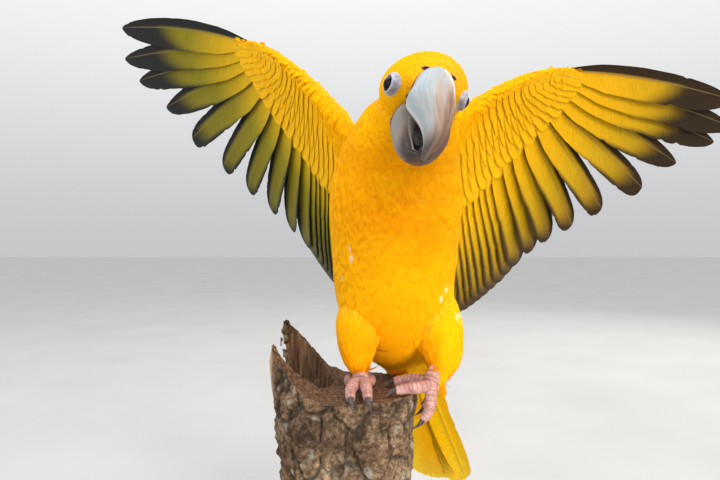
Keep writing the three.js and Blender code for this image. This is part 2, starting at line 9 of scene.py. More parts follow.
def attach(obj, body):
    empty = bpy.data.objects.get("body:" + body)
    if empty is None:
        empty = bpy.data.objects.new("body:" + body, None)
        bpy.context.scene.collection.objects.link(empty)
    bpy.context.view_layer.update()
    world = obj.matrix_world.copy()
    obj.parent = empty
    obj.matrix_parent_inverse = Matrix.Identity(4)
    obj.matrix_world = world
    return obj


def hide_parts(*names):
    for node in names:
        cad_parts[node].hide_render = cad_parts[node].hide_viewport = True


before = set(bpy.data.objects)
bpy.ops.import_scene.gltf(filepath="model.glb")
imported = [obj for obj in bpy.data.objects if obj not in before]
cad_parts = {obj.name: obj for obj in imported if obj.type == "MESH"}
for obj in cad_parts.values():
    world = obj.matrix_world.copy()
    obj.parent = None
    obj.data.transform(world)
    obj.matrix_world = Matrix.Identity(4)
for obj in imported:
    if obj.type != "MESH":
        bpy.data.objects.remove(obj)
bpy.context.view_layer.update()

# Camera and studio. The lens and height are those of the photograph, level with the bird's throat.
# The floor is a wide pale board, lit by soft boxes in front, above and behind, with a narrow one low down
# for the tail and the perch.
scene = bpy.context.scene


def set_down(name, data, place=(0, 0, 0), turn=(0, 0, 0)):
    """Puts a thing in the scene."""
    made = bpy.data.objects.new(name, data)
    made.location = place
    made.rotation_euler = turn
    scene.collection.objects.link(made)
    return made


camera_data = bpy.data.cameras.new("camera")
camera_data.lens = 28
camera_data.sensor_width = 36
scene.camera = set_down("camera", camera_data, (-0.01875, -0.300, 0.196), (math.radians(90), 0, 0))
scene.view_settings.view_transform = "Standard"


def soft_box(name, place, aim, size, watts, colour, spread=180):
    """A round soft light, aimed at a point. Spread is the angle of its beam in degrees."""
    lamp = bpy.data.lights.new(name, "AREA")
    lamp.shape = "DISK"
    lamp.size = size
    lamp.energy = watts
    lamp.color = colour
    lamp.spread = math.radians(spread)
    set_down(name, lamp, place, (Vector(aim) - Vector(place)).to_track_quat("-Z", "Y").to_euler())


soft_box("key_light", (0.45, -0.75, 0.95), (0, 0, 0.22), 0.7, 6.7, (1, 0.98, 0.94))
soft_box("fill_light", (-0.9, -0.6, 0.45), (0, 0, 0.2), 0.9, 3.4, (0.9, 0.95, 1))
soft_box("rim_light", (0.7, 0.8, 0.8), (0.05, 0, 0.24), 0.6, 5, (1, 0.96, 0.86))
soft_box("low_light", (0.32, -0.5, 0.06), (0.055, 0.08, 0.03), 0.2, 0.3, (1, 0.95, 0.85), 40)
soft_box("top_light", (-0.3, 0.2, 1.2), (0, 0, 0.2), 0.8, 2.5, (1, 1, 1))


class Nodes:
    """A tree of shader nodes. Each call adds a node and gives its output, fed by other outputs or plain values."""

    def __init__(self, tree):
        self.tree = tree

    def feed(self, socket, value):
        if isinstance(value, bpy.types.NodeSocket):
            self.tree.links.new(value, socket)
        else:
            socket.default_value = (*value, 1) if socket.type == "RGBA" else value

    def node(self, kind, sockets, **settings):
        made = self.tree.nodes.new("ShaderNode" + kind)
        for name, value in settings.items():
            setattr(made, name, value)
        for name, value in sockets.items():
            self.feed(made.inputs[name], value)
        return made

    def math(self, operation, a, b=0.0, c=0.0, clamp=False):
        return self.node("Math", {0: a, 1: b, 2: c}, operation=operation, use_clamp=clamp).outputs[0]

    def times(self, a, b):
        return self.math("MULTIPLY", a, b)

    def scaled(self, value, factor, shift):
        return self.math("MULTIPLY_ADD", value, factor, shift)

    def rise(self, value, low, high):
        """0 at low and 1 at high, eased between them."""
        sockets = {"Value": value, "From Min": low, "From Max": high}
        return self.node("MapRange", sockets, interpolation_type="SMOOTHSTEP").outputs["Result"]

    def ramp(self, value, *stops):
        """A colour ramp from stops of position, red, green and blue."""
        made = self.node("ValToRGB", {"Fac": value})
        line = made.color_ramp
        while len(line.elements) < len(stops):
            line.elements.new(1.0)
        for element, (position, *colour) in zip(line.elements, stops):
            element.position = position
            element.color = (*colour, 1)
        return made.outputs["Color"]

    def mix(self, share, a, b, blend="MIX"):
        return self.node("Mix", {0: share, 6: a, 7: b}, data_type="RGBA", blend_type=blend).outputs[2]

    def tinted(self, colour, tint):
        return self.mix(1.0, colour, tint, "MULTIPLY")

    def noise(self, where, scale, detail, **more):
        return self.node("TexNoise", {"Vector": where, "Scale": scale, "Detail": detail, **more}).outputs["Fac"]

    def mask(self, name, output="Fac"):
        """What is stored under this name on the points of the piece."""
        return self.node("Attribute", {}, attribute_name=name).outputs[output]

    def drawn_out(self, where, by):
        """The place stretched along each axis, so that a pattern there gets finer or coarser."""
        return self.node("VectorMath", {0: where, 1: by}, operation="MULTIPLY").outputs["Vector"]

    def split(self, vector):
        return self.node("SeparateXYZ", {"Vector": vector}).outputs

    def place(self):
        """Where on the piece, in metres."""
        return self.node("TexCoord", {}).outputs["Object"]


class Finish(Nodes):
    """A material round its Principled shader, with plain values set on that shader's own sockets."""

    def __init__(self, name, **plain):
        self.material = bpy.data.materials.new(name)
        self.material.use_nodes = True
        super().__init__(self.material.node_tree)
        self.shader = self.tree.nodes["Principled BSDF"]
        self.look(**plain)

    def look(self, **sockets):
        for name, value in sockets.items():
            self.feed(self.shader.inputs[name.replace("_", " ")], value)

    def relief(self, height, strength, distance):
        """Fine bumps, too small to model."""
        bump = self.node("Bump", {"Strength": strength, "Distance": distance, "Height": height})
        self.look(Normal=bump.outputs["Normal"])


# The studio's walls are a little greyer low down, as grey as the far floor.
world = bpy.data.worlds.new("studio")
scene.world = world
world.use_nodes = True
paint = Nodes(world.node_tree)
height = paint.split(paint.node("TexCoord", {}).outputs["Generated"])["Z"]
wall = paint.ramp(
    paint.rise(height, -0.05, 0.55), (0.0, 0.56, 0.57, 0.58), (0.25, 0.68, 0.69, 0.7), (1.0, 1.0, 1.0, 1.0)
)
backdrop = world.node_tree.nodes["Background"]
paint.feed(backdrop.inputs["Color"], wall)
backdrop.inputs["Strength"].default_value = 1.0

paint = floor_paint = Finish("floor_paint", Roughness=0.9, Specular_IOR_Level=0.1)
speckle = paint.noise(paint.place(), 9, 3)
paint.look(Base_Color=paint.ramp(speckle, (0.3, 0.5, 0.5, 0.5), (0.7, 0.54, 0.54, 0.54)))

FLOOR_REACH = 6.0
corners = [(x * FLOOR_REACH, y * FLOOR_REACH, 0) for x, y in ((-1, -1), (1, -1), (1, 1), (-1, 1))]
floor_mesh = bpy.data.meshes.new("floor")
floor_mesh.from_pydata(corners, [], [(0, 1, 2, 3)])
floor_mesh.materials.append(floor_paint.material)
floor = set_down("floor", floor_mesh)


# Display stand: a turned hardwood disc with a stepped rim under dark varnish, and two brushed steel
# rods, each set in a low turned collar. It is made on a lathe.
def piece_from(name, points, faces, finish):
    """A mesh piece that rides on the still body, from points in metres and faces with equal numbers of corners."""
    points = np.asarray(points, np.float32)
    faces = np.asarray(faces, np.int32)
    mesh = bpy.data.meshes.new(name)
    mesh.vertices.add(len(points))
    mesh.vertices.foreach_set("co", points.ravel())
    mesh.loops.add(faces.size)
    mesh.loops.foreach_set("vertex_index", faces.ravel())
    mesh.polygons.add(len(faces))
    mesh.polygons.foreach_set("loop_start", np.arange(0, faces.size, faces.shape[1], dtype=np.int32))
    mesh.update(calc_edges=True)
    mesh.validate()
    mesh.polygons.foreach_set("use_smooth", np.full(len(mesh.polygons), True))
    mesh.materials.append(finish.material)
    made = set_down(name, mesh)
    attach(made, "root")
    return made


def turns(sides):
    """Angles all the way round, in even steps."""
    return np.linspace(0, 2 * np.pi, sides, endpoint=False)


def tube_faces(rings, sides):
    """Quads between rings of points."""
    index = np.arange(rings * sides).reshape(rings, sides)
    turned = np.roll(index, -1, axis=1)
    return np.stack([index[:-1], turned[:-1], turned[1:], index[1:]], -1).reshape(-1, 4)


def closed_tube(rings):
    """Points and triangles of a tube with a middle point at each end."""
    steps, sides = rings.shape[:2]
    quads = tube_faces(steps, sides)
    points = np.concatenate([rings.reshape(-1, 3), rings[:1].mean(1), rings[-1:].mean(1)])
    first, middle = np.arange(sides), steps * sides
    after = (first + 1) % sides
    last = middle - sides
    caps = [(np.full(sides, middle), after, first), (np.full(sides, middle + 1), last + first, last + after)]
    faces = np.concatenate([quads[:, [0, 1, 2]], quads[:, [0, 2, 3]], *(np.stack(cap, -1) for cap in caps)])
    corner = points[faces] - points.mean(0)
    inside_out = np.sum(np.cross(corner[:, 0], corner[:, 1]) * corner[:, 2]) < 0
    return points, faces[:, ::-1] if inside_out else faces


def turned_piece(name, profile, centre, finish, sides=120):
    """A turned piece, from its profile of (radius, height) in millimetres, the first and last near its axis."""
    turn = turns(sides)
    rings = [
        np.stack([centre[0] + r * np.cos(turn), centre[1] + r * np.sin(turn), np.full(sides, z)], -1)
        for r, z in profile
    ]
    points, faces = closed_tube(np.array(rings))
    return piece_from(name, points * 0.001, faces, finish)


paint = base_varnish = Finish("base_varnish", Coat_Weight=0.35, Coat_Roughness=0.25)
long_way = paint.drawn_out(paint.place(), (1, 0.06, 0.12))
band = paint.noise(long_way, 60, 5, Distortion=0.6)
pore = paint.rise(paint.noise(long_way, 900, 2), 0.42, 0.62)
walnut = paint.ramp(band, (0.3, 0.03, 0.014, 0.008), (0.52, 0.075, 0.036, 0.018), (0.7, 0.12, 0.06, 0.03))
paint.look(Base_Color=paint.mix(pore, (0.02, 0.01, 0.006), walnut), Roughness=paint.rise(band, -0.6, 2.2))
paint.relief(pore, 0.15, 0.0003)

BASE_PROFILE = [
    (0.1, 0), (103.4, 0), (104.4, 0.3), (104.9, 1.2), (105, 2.2), (105, 5.4), (104.7, 6.2), (103.8, 6.5), (103.2, 6.9),
    (103, 7.6), (103, 8.6), (102.8, 9.8), (102.1, 10.9), (101, 11.6), (99.6, 11.95), (98, 12), (0.1, 12),
]
base = turned_piece("stand_base_turned", BASE_PROFILE, (0, 0), base_varnish)
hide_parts("stand_base")

paint = rod_steel = Finish("rod_steel", Metallic=1.0, Anisotropic=0.4)
scratch = paint.noise(paint.drawn_out(paint.place(), (1, 1, 90)), 160, 3)
paint.look(
    Base_Color=paint.ramp(scratch, (0.3, 0.42, 0.42, 0.43), (0.7, 0.56, 0.56, 0.58)),
    Roughness=paint.rise(scratch, -0.4, 1.9),
)
ROD_PROFILE = [
    (0.1, 12.3), (4, 12.3), (4, 12.6), (4, 14.5), (3.65, 14.9), (3.65, 15.5), (3.95, 15.9), (3.95, 57.1), (3.5, 57.55),
    (3, 57.7), (0.1, 57.7),
]
for letter, centre in (("a", (-46, 4)), ("b", (-14, 4))):
    rod = turned_piece(f"stand_rod_{letter}_turned", ROD_PROFILE, centre, rod_steel, 48)
    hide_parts(f"stand_rod_{letter}")


# Perch: a short length of dead, hollow branch. Outside it keeps its cracked bark in blocks, the broken rim
# is torn wood, and its foot and one side are sawn flat.
def values_of(items, key, width=1, kind=np.float32):
    """One value, or a row of them, from each of a mesh's points, corners or triangles."""
    got = np.zeros(len(items) * width, kind)
    items.foreach_get(key, got)
    return got.reshape(-1, width) if width > 1 else got


MESH_STEP = 0.0011  # side of the squares in metres


def evened(points, faces, rounds, factor=0.5):
    """The solid remeshed in even squares and relaxed, as points in metres, quads and normals."""
    mesh = bpy.data.meshes.new("evened")
    mesh.from_pydata(points.tolist(), [], faces.tolist())
    made = set_down("evened", mesh)
    remesh = made.modifiers.new("remesh", "REMESH")
    remesh.mode = "VOXEL"
    remesh.voxel_size = MESH_STEP
    relax = made.modifiers.new("relax", "SMOOTH")
    relax.factor = factor
    relax.iterations = rounds
    done = made.evaluated_get(bpy.context.evaluated_depsgraph_get()).to_mesh()
    co, normal = (values_of(done.vertices, key, 3).astype(float) for key in ("co", "normal"))
    quads = values_of(done.loops, "vertex_index", 1, np.int32).reshape(-1, 4)
    made.to_mesh_clear()
    bpy.data.objects.remove(made)
    bpy.data.meshes.remove(mesh)
    return co, quads, normal


def smoothstep(value, low, high):
    share = np.clip((value - low) / (high - low), 0, 1)
    return share * share * (3 - 2 * share)


def point_value(made, name, values):
    """Stores one number for each point."""
    made.data.attributes.new(name, "FLOAT", "POINT").data.foreach_set("value", np.asarray(values, np.float32))


def point_vector(made, name, values):
    """Stores three numbers for each point."""
    stored = made.data.attributes.new(name, "FLOAT_VECTOR", "POINT")
    stored.data.foreach_set("vector", np.asarray(values, np.float32).ravel())


RIM = 118.0  # height of the perch's rim, under the feet, in millimetres
PERCH_CENTRE = (-27, 2)
SAWN_SIDE = 64.2
SAWN_FOOT = RIM - 58.6
STANDING_PLACES = ((-19, -14), (12, -14))
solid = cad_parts["perch"].data
solid.calc_loop_triangles()
triangles = values_of(solid.loop_triangles, "vertices", 3, np.int32)
co, quads, normal = evened(values_of(solid.vertices, "co", 3), triangles, 3)
place = co * 1000
outward = np.stack([place[:, 0] - PERCH_CENTRE[0], place[:, 1] - PERCH_CENTRE[1], np.zeros(len(place))], -1)
reach = np.linalg.norm(outward, axis=1)
facing_out = np.sum(outward * normal, 1) / np.maximum(reach, 1)
sawn = np.maximum(
    smoothstep(-place[:, 0], SAWN_SIDE, SAWN_SIDE + 1.2) * (normal[:, 0] < -0.8),
    (place[:, 2] < SAWN_FOOT) & (normal[:, 2] < -0.7),
)
bark_side = smoothstep(facing_out, 0.35, 0.6) * (1 - sawn) * smoothstep(reach, 22, 30)
torn = (1 - bark_side) * (1 - sawn)
turn = np.arctan2(outward[:, 1], outward[:, 0])
crack, plate, fine = np.zeros((3, len(place)))
for i, ((x, y, z), angle) in enumerate(zip(place, turn)):
    bend = noise.noise(Vector((x * 0.04, y * 0.04, z * 0.03))) * 5
    warp = noise.noise(Vector((x * 0.09, y * 0.09, z * 0.06))) * 0.5
    cell = Vector((math.cos(angle) * 2.5 + warp, math.sin(angle) * 2.5 - warp, (z + bend) * 0.036 + warp * 0.6))
    near, _ = noise.voronoi(cell)
    crack[i] = near[1] - near[0]
    near, _ = noise.voronoi(Vector((x * 0.17 + warp, y * 0.17, z * 0.11 + warp)))
    plate[i] = near[1] - near[0]
    fine[i] = noise.fractal(Vector((x, y, z * 0.6)) * 0.3, 0.55, 2.2, 5)
deep = 1 - smoothstep(crack, 0.0, 0.13)
shallow = (1 - smoothstep(plate, 0.0, 0.13)) * smoothstep(fine, -0.5, 0.4)
splinter = np.array([noise.fractal(Vector((x * 0.5, y * 0.5, z * 0.06)), 0.6, 2.0, 3) for x, y, z in place])
depth = bark_side * (2.2 * deep + 1.1 * shallow + 1.1 * (1 - fine)) + torn * (0.5 + 0.8 * splinter)
# Under the toes the bark keeps its full height, so that the feet rest on it.
gaps = [np.linalg.norm(place[:, :2] - np.array(spot), axis=1) for spot in STANDING_PLACES]
under_toes = np.maximum.reduce([1 - smoothstep(gap, 12, 20) for gap in gaps])
depth *= 1 - 0.75 * under_toes * smoothstep(place[:, 2], RIM - 14, RIM - 4)
co -= normal * np.maximum(depth, 0)[:, None] * 0.001

paint = bark_skin = Finish("bark_skin", Roughness=0.92, Specular_IOR_Level=0.25)
where = paint.place()
grit = paint.noise(where, 420, 5, Roughness=0.7)
grain = paint.mix(paint.rise(grit, 0.36, 0.66), (0.3, 0.27, 0.24), (1.15, 1.12, 1.08))
patches = paint.ramp(
    paint.noise(where, 45, 6, Roughness=0.62),
    (0.3, 0.085, 0.052, 0.032), (0.44, 0.19, 0.12, 0.07), (0.55, 0.31, 0.21, 0.13), (0.68, 0.5, 0.38, 0.26),
)
flecked = paint.tinted(patches, grain)
lichen = paint.rise(paint.noise(where, 130, 4), 0.58, 0.68)
flecked = paint.mix(paint.times(lichen, 0.6), flecked, (0.36, 0.36, 0.3))
# The cracks are painted near black, as painted shade deep in them.
flecked = paint.mix(paint.times(paint.mask("crack"), 0.8), flecked, (0.02, 0.013, 0.009))
fibres = paint.noise(paint.drawn_out(where, (1, 1, 0.08)), 520, 4)
inner_wood = paint.ramp(fibres, (0.3, 0.045, 0.022, 0.012), (0.5, 0.13, 0.07, 0.038), (0.72, 0.27, 0.165, 0.095))
bark_colour = paint.mix(paint.mask("torn"), flecked, inner_wood)
year_rings = paint.node(
    "TexWave", {"Vector": where, "Scale": 95.0, "Distortion": 3.0, "Detail": 3.0},
    wave_type="RINGS", rings_direction="Z",
).outputs["Fac"]
sawn_wood = paint.ramp(year_rings, (0.2, 0.45, 0.3, 0.17), (0.8, 0.3, 0.18, 0.1))
paint.look(Base_Color=paint.mix(paint.mask("sawn"), bark_colour, sawn_wood))
paint.relief(paint.math("ADD", grit, fibres), 0.8, 0.0007)
bark = piece_from("perch_bark", co, quads, bark_skin)
# The crack mask carries that painted shade.
point_value(bark, "crack", bark_side * np.maximum(deep, 0.55 * shallow) ** 1.3)
point_value(bark, "torn", torn)
point_value(bark, "sawn", sawn)
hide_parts("perch")

# The bird's skin: one closed form for trunk, neck, head, thighs and the arms of the wings, lying under the
# feathers by their depth. It is modelled as a mannikin would be, from the same named sizes as the solids.
HIDE = 2.0  # depth of the coat on the body
HEAD_HIDE = 0.9


def at_share(points, share):
    """Points on a centripetal Catmull-Rom curve at shares 0 to 1."""
    points = np.asarray(points, float)
    step = np.clip(share, 0, 1) * (len(points) - 1)
    i = np.minimum(step.astype(int), len(points) - 2)
    w = (step - i)[:, None]
    ends = np.vstack([2 * points[0] - points[1], points, 2 * points[-1] - points[-2]])
    p0, p1, p2, p3 = (ends[i + k] for k in range(4))
    chord = [np.maximum(np.sum((b - a) ** 2, -1) ** 0.25, 1e-4)[:, None] for a, b in ((p0, p1), (p1, p2), (p2, p3))]
    leave = ((p1 - p0) / chord[0] - (p2 - p0) / (chord[0] + chord[1]) + (p2 - p1) / chord[1]) * chord[1]
    arrive = ((p2 - p1) / chord[1] - (p3 - p1) / (chord[1] + chord[2]) + (p3 - p2) / chord[2]) * chord[1]
    return p1 + leave * w + (3 * (p2 - p1) - 2 * leave - arrive) * w**2 + (2 * (p1 - p2) + leave + arrive) * w**3


def size_at(sizes, share):
    """A smooth value through evenly spaced named sizes at shares 0 to 1."""
    sizes = np.asarray(sizes, float)
    step = np.clip(share, 0, 1) * (len(sizes) - 1)
    i = np.minimum(step.astype(int), len(sizes) - 2)
    w = step - i
    p0, p1, p2, p3 = sizes[np.maximum(i - 1, 0)], sizes[i], sizes[i + 1], sizes[np.minimum(i + 2, len(sizes) - 1)]
    a, b = (p2 - p0) / 2, (p3 - p1) / 2
    return (2 * (p1 - p2) + a + b) * w**3 + (3 * (p2 - p1) - 2 * a - b) * w**2 + a * w + p1


def unit(v):
    return v / np.maximum(np.linalg.norm(v, axis=-1, keepdims=True), 1e-9)


def limb_frames(line, share):
    """Centres and the across, fore and along directions of a limb at shares 0 to 1."""
    centre = at_share(line, share)
    along = unit(at_share(line, np.minimum(share + 0.003, 1)) - at_share(line, np.maximum(share - 0.003, 0)))
    across = unit(np.array([1.0, 0, 0]) - along * along[:, :1])
    return centre, across, np.cross(along, across), along


def limb(line, half_widths, half_depths, steps, sides, sink=0.0):
    """A closed limb, oval in section, as points and triangles. It lies inside its sizes by sink."""
    share = np.linspace(0, 1, steps + 1)
    centre, across, fore, _ = limb_frames(line, share)
    turn = turns(sides)
    wide = (size_at(half_widths, share) - sink)[:, None, None]
    deep = (size_at(half_depths, share) - sink)[:, None, None]
    wide, deep = wide * np.cos(turn)[None, :, None], deep * np.sin(turn)[None, :, None]
    return closed_tube(centre[:, None] + across[:, None] * wide + fore[:, None] * deep)


SPINE = [
    (4, 25, 4), (3, 21, 14), (2, 15, 30), (0, 9, 50), (0, 4, 74), (0, -2, 96), (1, -8, 112), (4, -17, 126),
    (8, -27, 137), (9.8, -33, 142.5),
]
TRUNK_HALF_WIDTHS = [8, 20, 29, 34, 35.8, 36.8, 35, 30, 24.5, 19]
TRUNK_HALF_DEPTHS = [6, 15, 24, 30.5, 34, 35, 32, 26, 21, 14.5]
HEAD_CENTRE = np.array([10.8, -42, 147])


def turned(degrees, axis):
    return Matrix.Rotation(math.radians(degrees), 3, axis)


head_turn = np.array(turned(12, "Z") @ turned(15, "Y") @ turned(7, "X"))
SKULL_LINE = [(26, 0), (20, 0), (11, 0), (0, 0), (-5, 0), (-9, 0.3), (-12, 0.9), (-15.4, 1.8), (-19.5, 2.6)]
SKULL_HALF_WIDTHS = [7, 14.6, 19.6, 20.8, 19.2, 16.2, 13, 9.6, 5.6]
SKULL_HALF_HEIGHTS = [7, 13.4, 16.6, 17.8, 17.8, 16.6, 14.4, 10.6, 5.5]
CROWN_LEAN = 0.14
THIGHS = {
    "right": ([(-15, 4, 52), (-19, -2, 34), (-20, -9, 19), (-18.5, -13, 10)], [13, 14, 10.5, 6]),
    "left": ([(18, 4, 52), (22.5, 0, 34), (24.5, -6, 18), (22, -12, 8)], [13, 14.5, 12, 7]),
}


def skull_shape(points):
    """The crown leans to its left, and the cheeks draw back below the middle of the bill."""
    x, y, z = np.moveaxis(np.array(points, float), -1, 0)
    drawn_back = np.maximum(1 - 0.06 * np.maximum(0, -1 - z), 0.3)
    return np.stack([x + CROWN_LEAN * (z + 2.2), np.where(y < 0, y * drawn_back, y), z], -1)


def in_head(points):
    """From the head's own frame, +Z to its crown and -Y to its bill, to the bird's."""
    return np.asarray(points, float) @ head_turn.T + HEAD_CENTRE


def from_head(points):
    """The other way, from the bird's frame to the head's own."""
    return (np.asarray(points, float) - HEAD_CENTRE) @ head_turn


def bird(points):
    """Millimetres above the rim to metres above the floor."""
    return (np.asarray(points, float) + [0, 0, RIM]) * 0.001


# Where each flight feather leaves the wing, outermost first, and its length. The fan is its angle in degrees.
ROOTS = [
    (84, -53), (80, -50), (76, -46), (72, -42), (67, -37), (62, -32), (56, -26), (50, -20),
    (44, -14), (38, -8), (32, -2), (26, 4), (20, 9), (13, 13), (6, 16), (-1, 18),
]
LENGTHS = [168, 184, 174, 146, 128, 109, 102, 100, 102, 106, 110, 110, 110, 110, 108, 105]
ARM_LEAD = [(-14, -10), (4, -27), (18, -37), (33, -45), (49, -51), (68, -55), (84, -56), (94, -55)]
ARM_TRAIL = [(-8, 26), (8, 22), (20, 14), (34, 2), (48, -14), (62, -29), (78, -44), (90, -51)]
ARM_THICKNESS = [11, 15, 14, 12, 10, 8.5, 6, 3]
AEROFOIL = [
    (0, 0), (0.05, 0.32), (0.12, 0.5), (0.4, 0.6), (0.75, 0.35), (1, 0.1), (0.75, -0.3), (0.4, -0.45), (0.12, -0.42),
    (0.05, -0.27),
]
WINGS = {
    "right": {
        "shoulder": (-24, 8, 126), "out": (-0.675, 0.675, 0.297), "inner": (-0.122, 0.676, -0.725), "side": -1,
        "fan": [-6, 2, 6.5, 14, 24, 37, 47, 56, 63, 67, 69, 70, 70.5, 71, 71.5, 72],
    },
    "left": {
        "shoulder": (24, 8, 124), "out": (0.862, 0.503, 0.062), "inner": (0.12, 0.494, -0.861), "side": 1,
        "fan": [-3, 3, 6, 13, 22, 34, 42.5, 48, 50.5, 53, 55.5, 58.5, 60.5, 61.5, 62.5, 63.5],
    },
}
for wing in WINGS.values():
    e1 = unit(np.array(wing["out"]))
    inner = np.array(wing["inner"])
    e2 = unit(inner - e1 * inner.dot(e1))
    wing["plane"] = np.stack([e1, e2, np.cross(e1, e2) * wing["side"]])


def on_wing(wing, a, b, lift=0.0):
    """A place from out a, back b and up lift in a wing's own plane."""
    return np.array(wing["shoulder"]) + np.stack(np.broadcast_arrays(a, b, lift), -1) @ wing["plane"]


def off_wing(wing, places):
    """The other way, from places on the bird to out, back and up."""
    return (places - np.array(wing["shoulder"])) @ wing["plane"].T


def arm(wing, fullness):
    """The arm and hand as an aerofoil, its thickness a share of the feathered one."""
    section = np.array(AEROFOIL)
    rings = []
    share = np.linspace(0, 1, 22)
    lead, trail = (at_share([(*p, 0) for p in edge], share) for edge in (ARM_LEAD, ARM_TRAIL))
    thick = size_at(ARM_THICKNESS, share) * fullness
    for l, t, d in zip(lead, trail, thick):
        middle = (l + t) / 2
        l, t = middle + (l - middle) * 0.86, middle + (t - middle) * 0.9
        flat = l + (t - l) * section[:, :1]
        rings.append(on_wing(wing, flat[:, 0], flat[:, 1], section[:, 1] * d))
    return closed_tube(np.array(rings))


def joined(parts):
    """Several bodies, each as points and faces, as one."""
    starts = np.cumsum([0] + [len(points) for points, _ in parts[:-1]])
    return np.concatenate([p for p, _ in parts]), np.concatenate([f + s for (_, f), s in zip(parts, starts)])


bodies = [limb(SPINE, TRUNK_HALF_WIDTHS, TRUNK_HALF_DEPTHS, 60, 64, HIDE)]
points, faces = limb([(0, y, z) for y, z in SKULL_LINE], SKULL_HALF_WIDTHS, SKULL_HALF_HEIGHTS, 40, 48, HEAD_HIDE)
bodies.append((in_head(skull_shape(points)), faces))
bodies += [limb(line, radii, radii, 24, 32, HIDE * 0.8) for line, radii in THIGHS.values()]
bodies += [arm(wing, 0.62) for wing in WINGS.values()]
points, faces = joined(bodies)
skin_points, skin_quads, _ = evened(bird(points), faces, 6, 0.6)


def new_group(name, takes, gives):
    """A group of nodes with named inputs and outputs: its nodes, what it is given, and what it gives out."""
    group = bpy.data.node_groups.new(name, "ShaderNodeTree")
    for way, sockets in (("INPUT", takes), ("OUTPUT", gives)):
        for socket, kind in sockets.items():
            group.interface.new_socket(socket, in_out=way, socket_type="NodeSocket" + kind)
    return Nodes(group), group.nodes.new("NodeGroupInput").outputs, group.nodes.new("NodeGroupOutput").inputs


# The coat's yellow by place on the body: deeper orange on the throat and under the belly, palest on the crown. The
# orange is partly the bird's own and partly painted shade under the bill and head and between the thighs.
paint, given, gives = new_group("plumage_colour_and_shade", {"Place": "Vector"}, {"Color": "Color"})
aside, ahead, height = paint.split(given["Place"])
broad = paint.noise(given["Place"], 38, 3)
swayed = paint.scaled(broad, 0.03, height)
# The throat band is partly painted shadow under the bill, and the belly's orange partly painted shade between the
# thighs.
throat = paint.times(paint.rise(swayed, 0.185, 0.222), paint.rise(swayed, 0.272, 0.248))
orange = paint.math("MAXIMUM", paint.times(throat, 0.75), paint.rise(swayed, 0.2, 0.15))
orange = paint.times(orange, paint.scaled(paint.rise(ahead, 0.0, -0.03), 0.6, 0.4))
mottled = paint.math("MULTIPLY", orange, paint.rise(broad, 0.15, 0.6), clamp=True)
from_middle = paint.math("ABSOLUTE", paint.math("ADD", aside, 0.003))
mottled = paint.times(mottled, paint.rise(paint.scaled(broad, 0.02, from_middle), 0.056, 0.026))
yellow = paint.mix(paint.rise(height, 0.262, 0.285), (1.0, 0.5, 0.001), (1.0, 0.53, 0.001))
paint.feed(gives["Color"], paint.mix(mottled, yellow, (0.86, 0.29, 0.0)))
plumage_colour_and_shade = paint.tree

# Barbs of a feather: fine streaks that leave its shaft at a slant, and a mask of the shaft itself. Vane is
# (-1 to 1 across, 0 to 1 along, length in millimetres), and Seed shifts one feather from the next.
paint, given, gives = new_group(
    "barbs", {"Vane": "Vector", "Seed": "Float"}, dict.fromkeys(("Streak", "Shaft", "Across", "Along"), "Float")
)
across, along, length = paint.split(given["Vane"])
reach = paint.math("ABSOLUTE", across)
slanted = paint.scaled(reach, -7.0, paint.times(along, length))
shifts = {"X": paint.times(slanted, 1.5), "Y": paint.times(across, 1.2), "Z": paint.times(given["Seed"], 37.0)}
streak = paint.noise(paint.node("CombineXYZ", shifts).outputs["Vector"], 1, 4, Roughness=0.6)
shaft = paint.rise(reach, 0.055, 0.02)
for socket, value in zip(gives, (streak, shaft, across, along)):
    paint.feed(socket, value)
barbs = paint.tree


def yellow_with_shade(paint):
    return paint.node("Group", {"Place": paint.place()}, node_tree=plumage_colour_and_shade).outputs["Color"]


paint = skin_down = Finish("skin_down", Roughness=0.9, Specular_IOR_Level=0.2)
down_tuft = paint.noise(paint.place(), 700, 4)
yellow = yellow_with_shade(paint)
shaded = paint.tinted(yellow, (0.82, 0.66, 0.6))
paint.look(Base_Color=paint.mix(paint.rise(down_tuft, 0.3, 0.7), shaded, yellow))
paint.relief(down_tuft, 0.6, 0.0004)
skin = piece_from("skin", skin_points, skin_quads, skin_down)
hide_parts("torso", "neck", "head", "thigh_right", "thigh_left")

skin_mm = skin_points * 1000 - [0, 0, RIM]
skin_tree = BVHTree.FromPolygons(skin_mm.tolist(), skin_quads.tolist())


def nearest_on_skin(points):
    """The nearest places on the skin, and the skin's normals there."""
    found = [skin_tree.find_nearest(p) for p in points.tolist()]
    return np.array([hit for hit, _, _, _ in found]), np.array([normal for _, normal, _, _ in found])


# Bill: two horny sheaths over bone, pale and bluish at the base where it is young and, as a painted sky reflection,
# down its right side; browner and streaked where it is worn.
# The upper one hooks over the lower, which is a scoop that holds the dark tongue.
UPPER_BILL = {
    "ridge": [(12, 6), (21, 6.6), (28, 1.4), (32.4, -6), (33.4, -15), (32, -25), (28.5, -34.6)],
    "edge": [(8, -10.6), (16, -11.5), (21, -13.9), (23.5, -17), (25, -21.4), (26.3, -29), (27.3, -33.4)],
    "half": [9.2, 8.7, 9.4, 10.4, 6.7, 3.1, 1],
    "aside": [0, -0.9, -1.9, 2.7, 0.9],
    "roof": 1.05,
}
LOWER_BILL = {
    "ridge": [(5, -28.7), (12, -32), (18, -36.2), (22.5, -35.2), (25.2, -32)],
    "edge": [(5, -10.3), (12, -9), (17, -16.5), (20.5, -23.6), (23.2, -30)],
    "half": [13.1, 13.7, 10.8, 7.6, 4],
    "aside": [1.6, 0.3, -1, -0.8],
    "roof": 1.05,
}


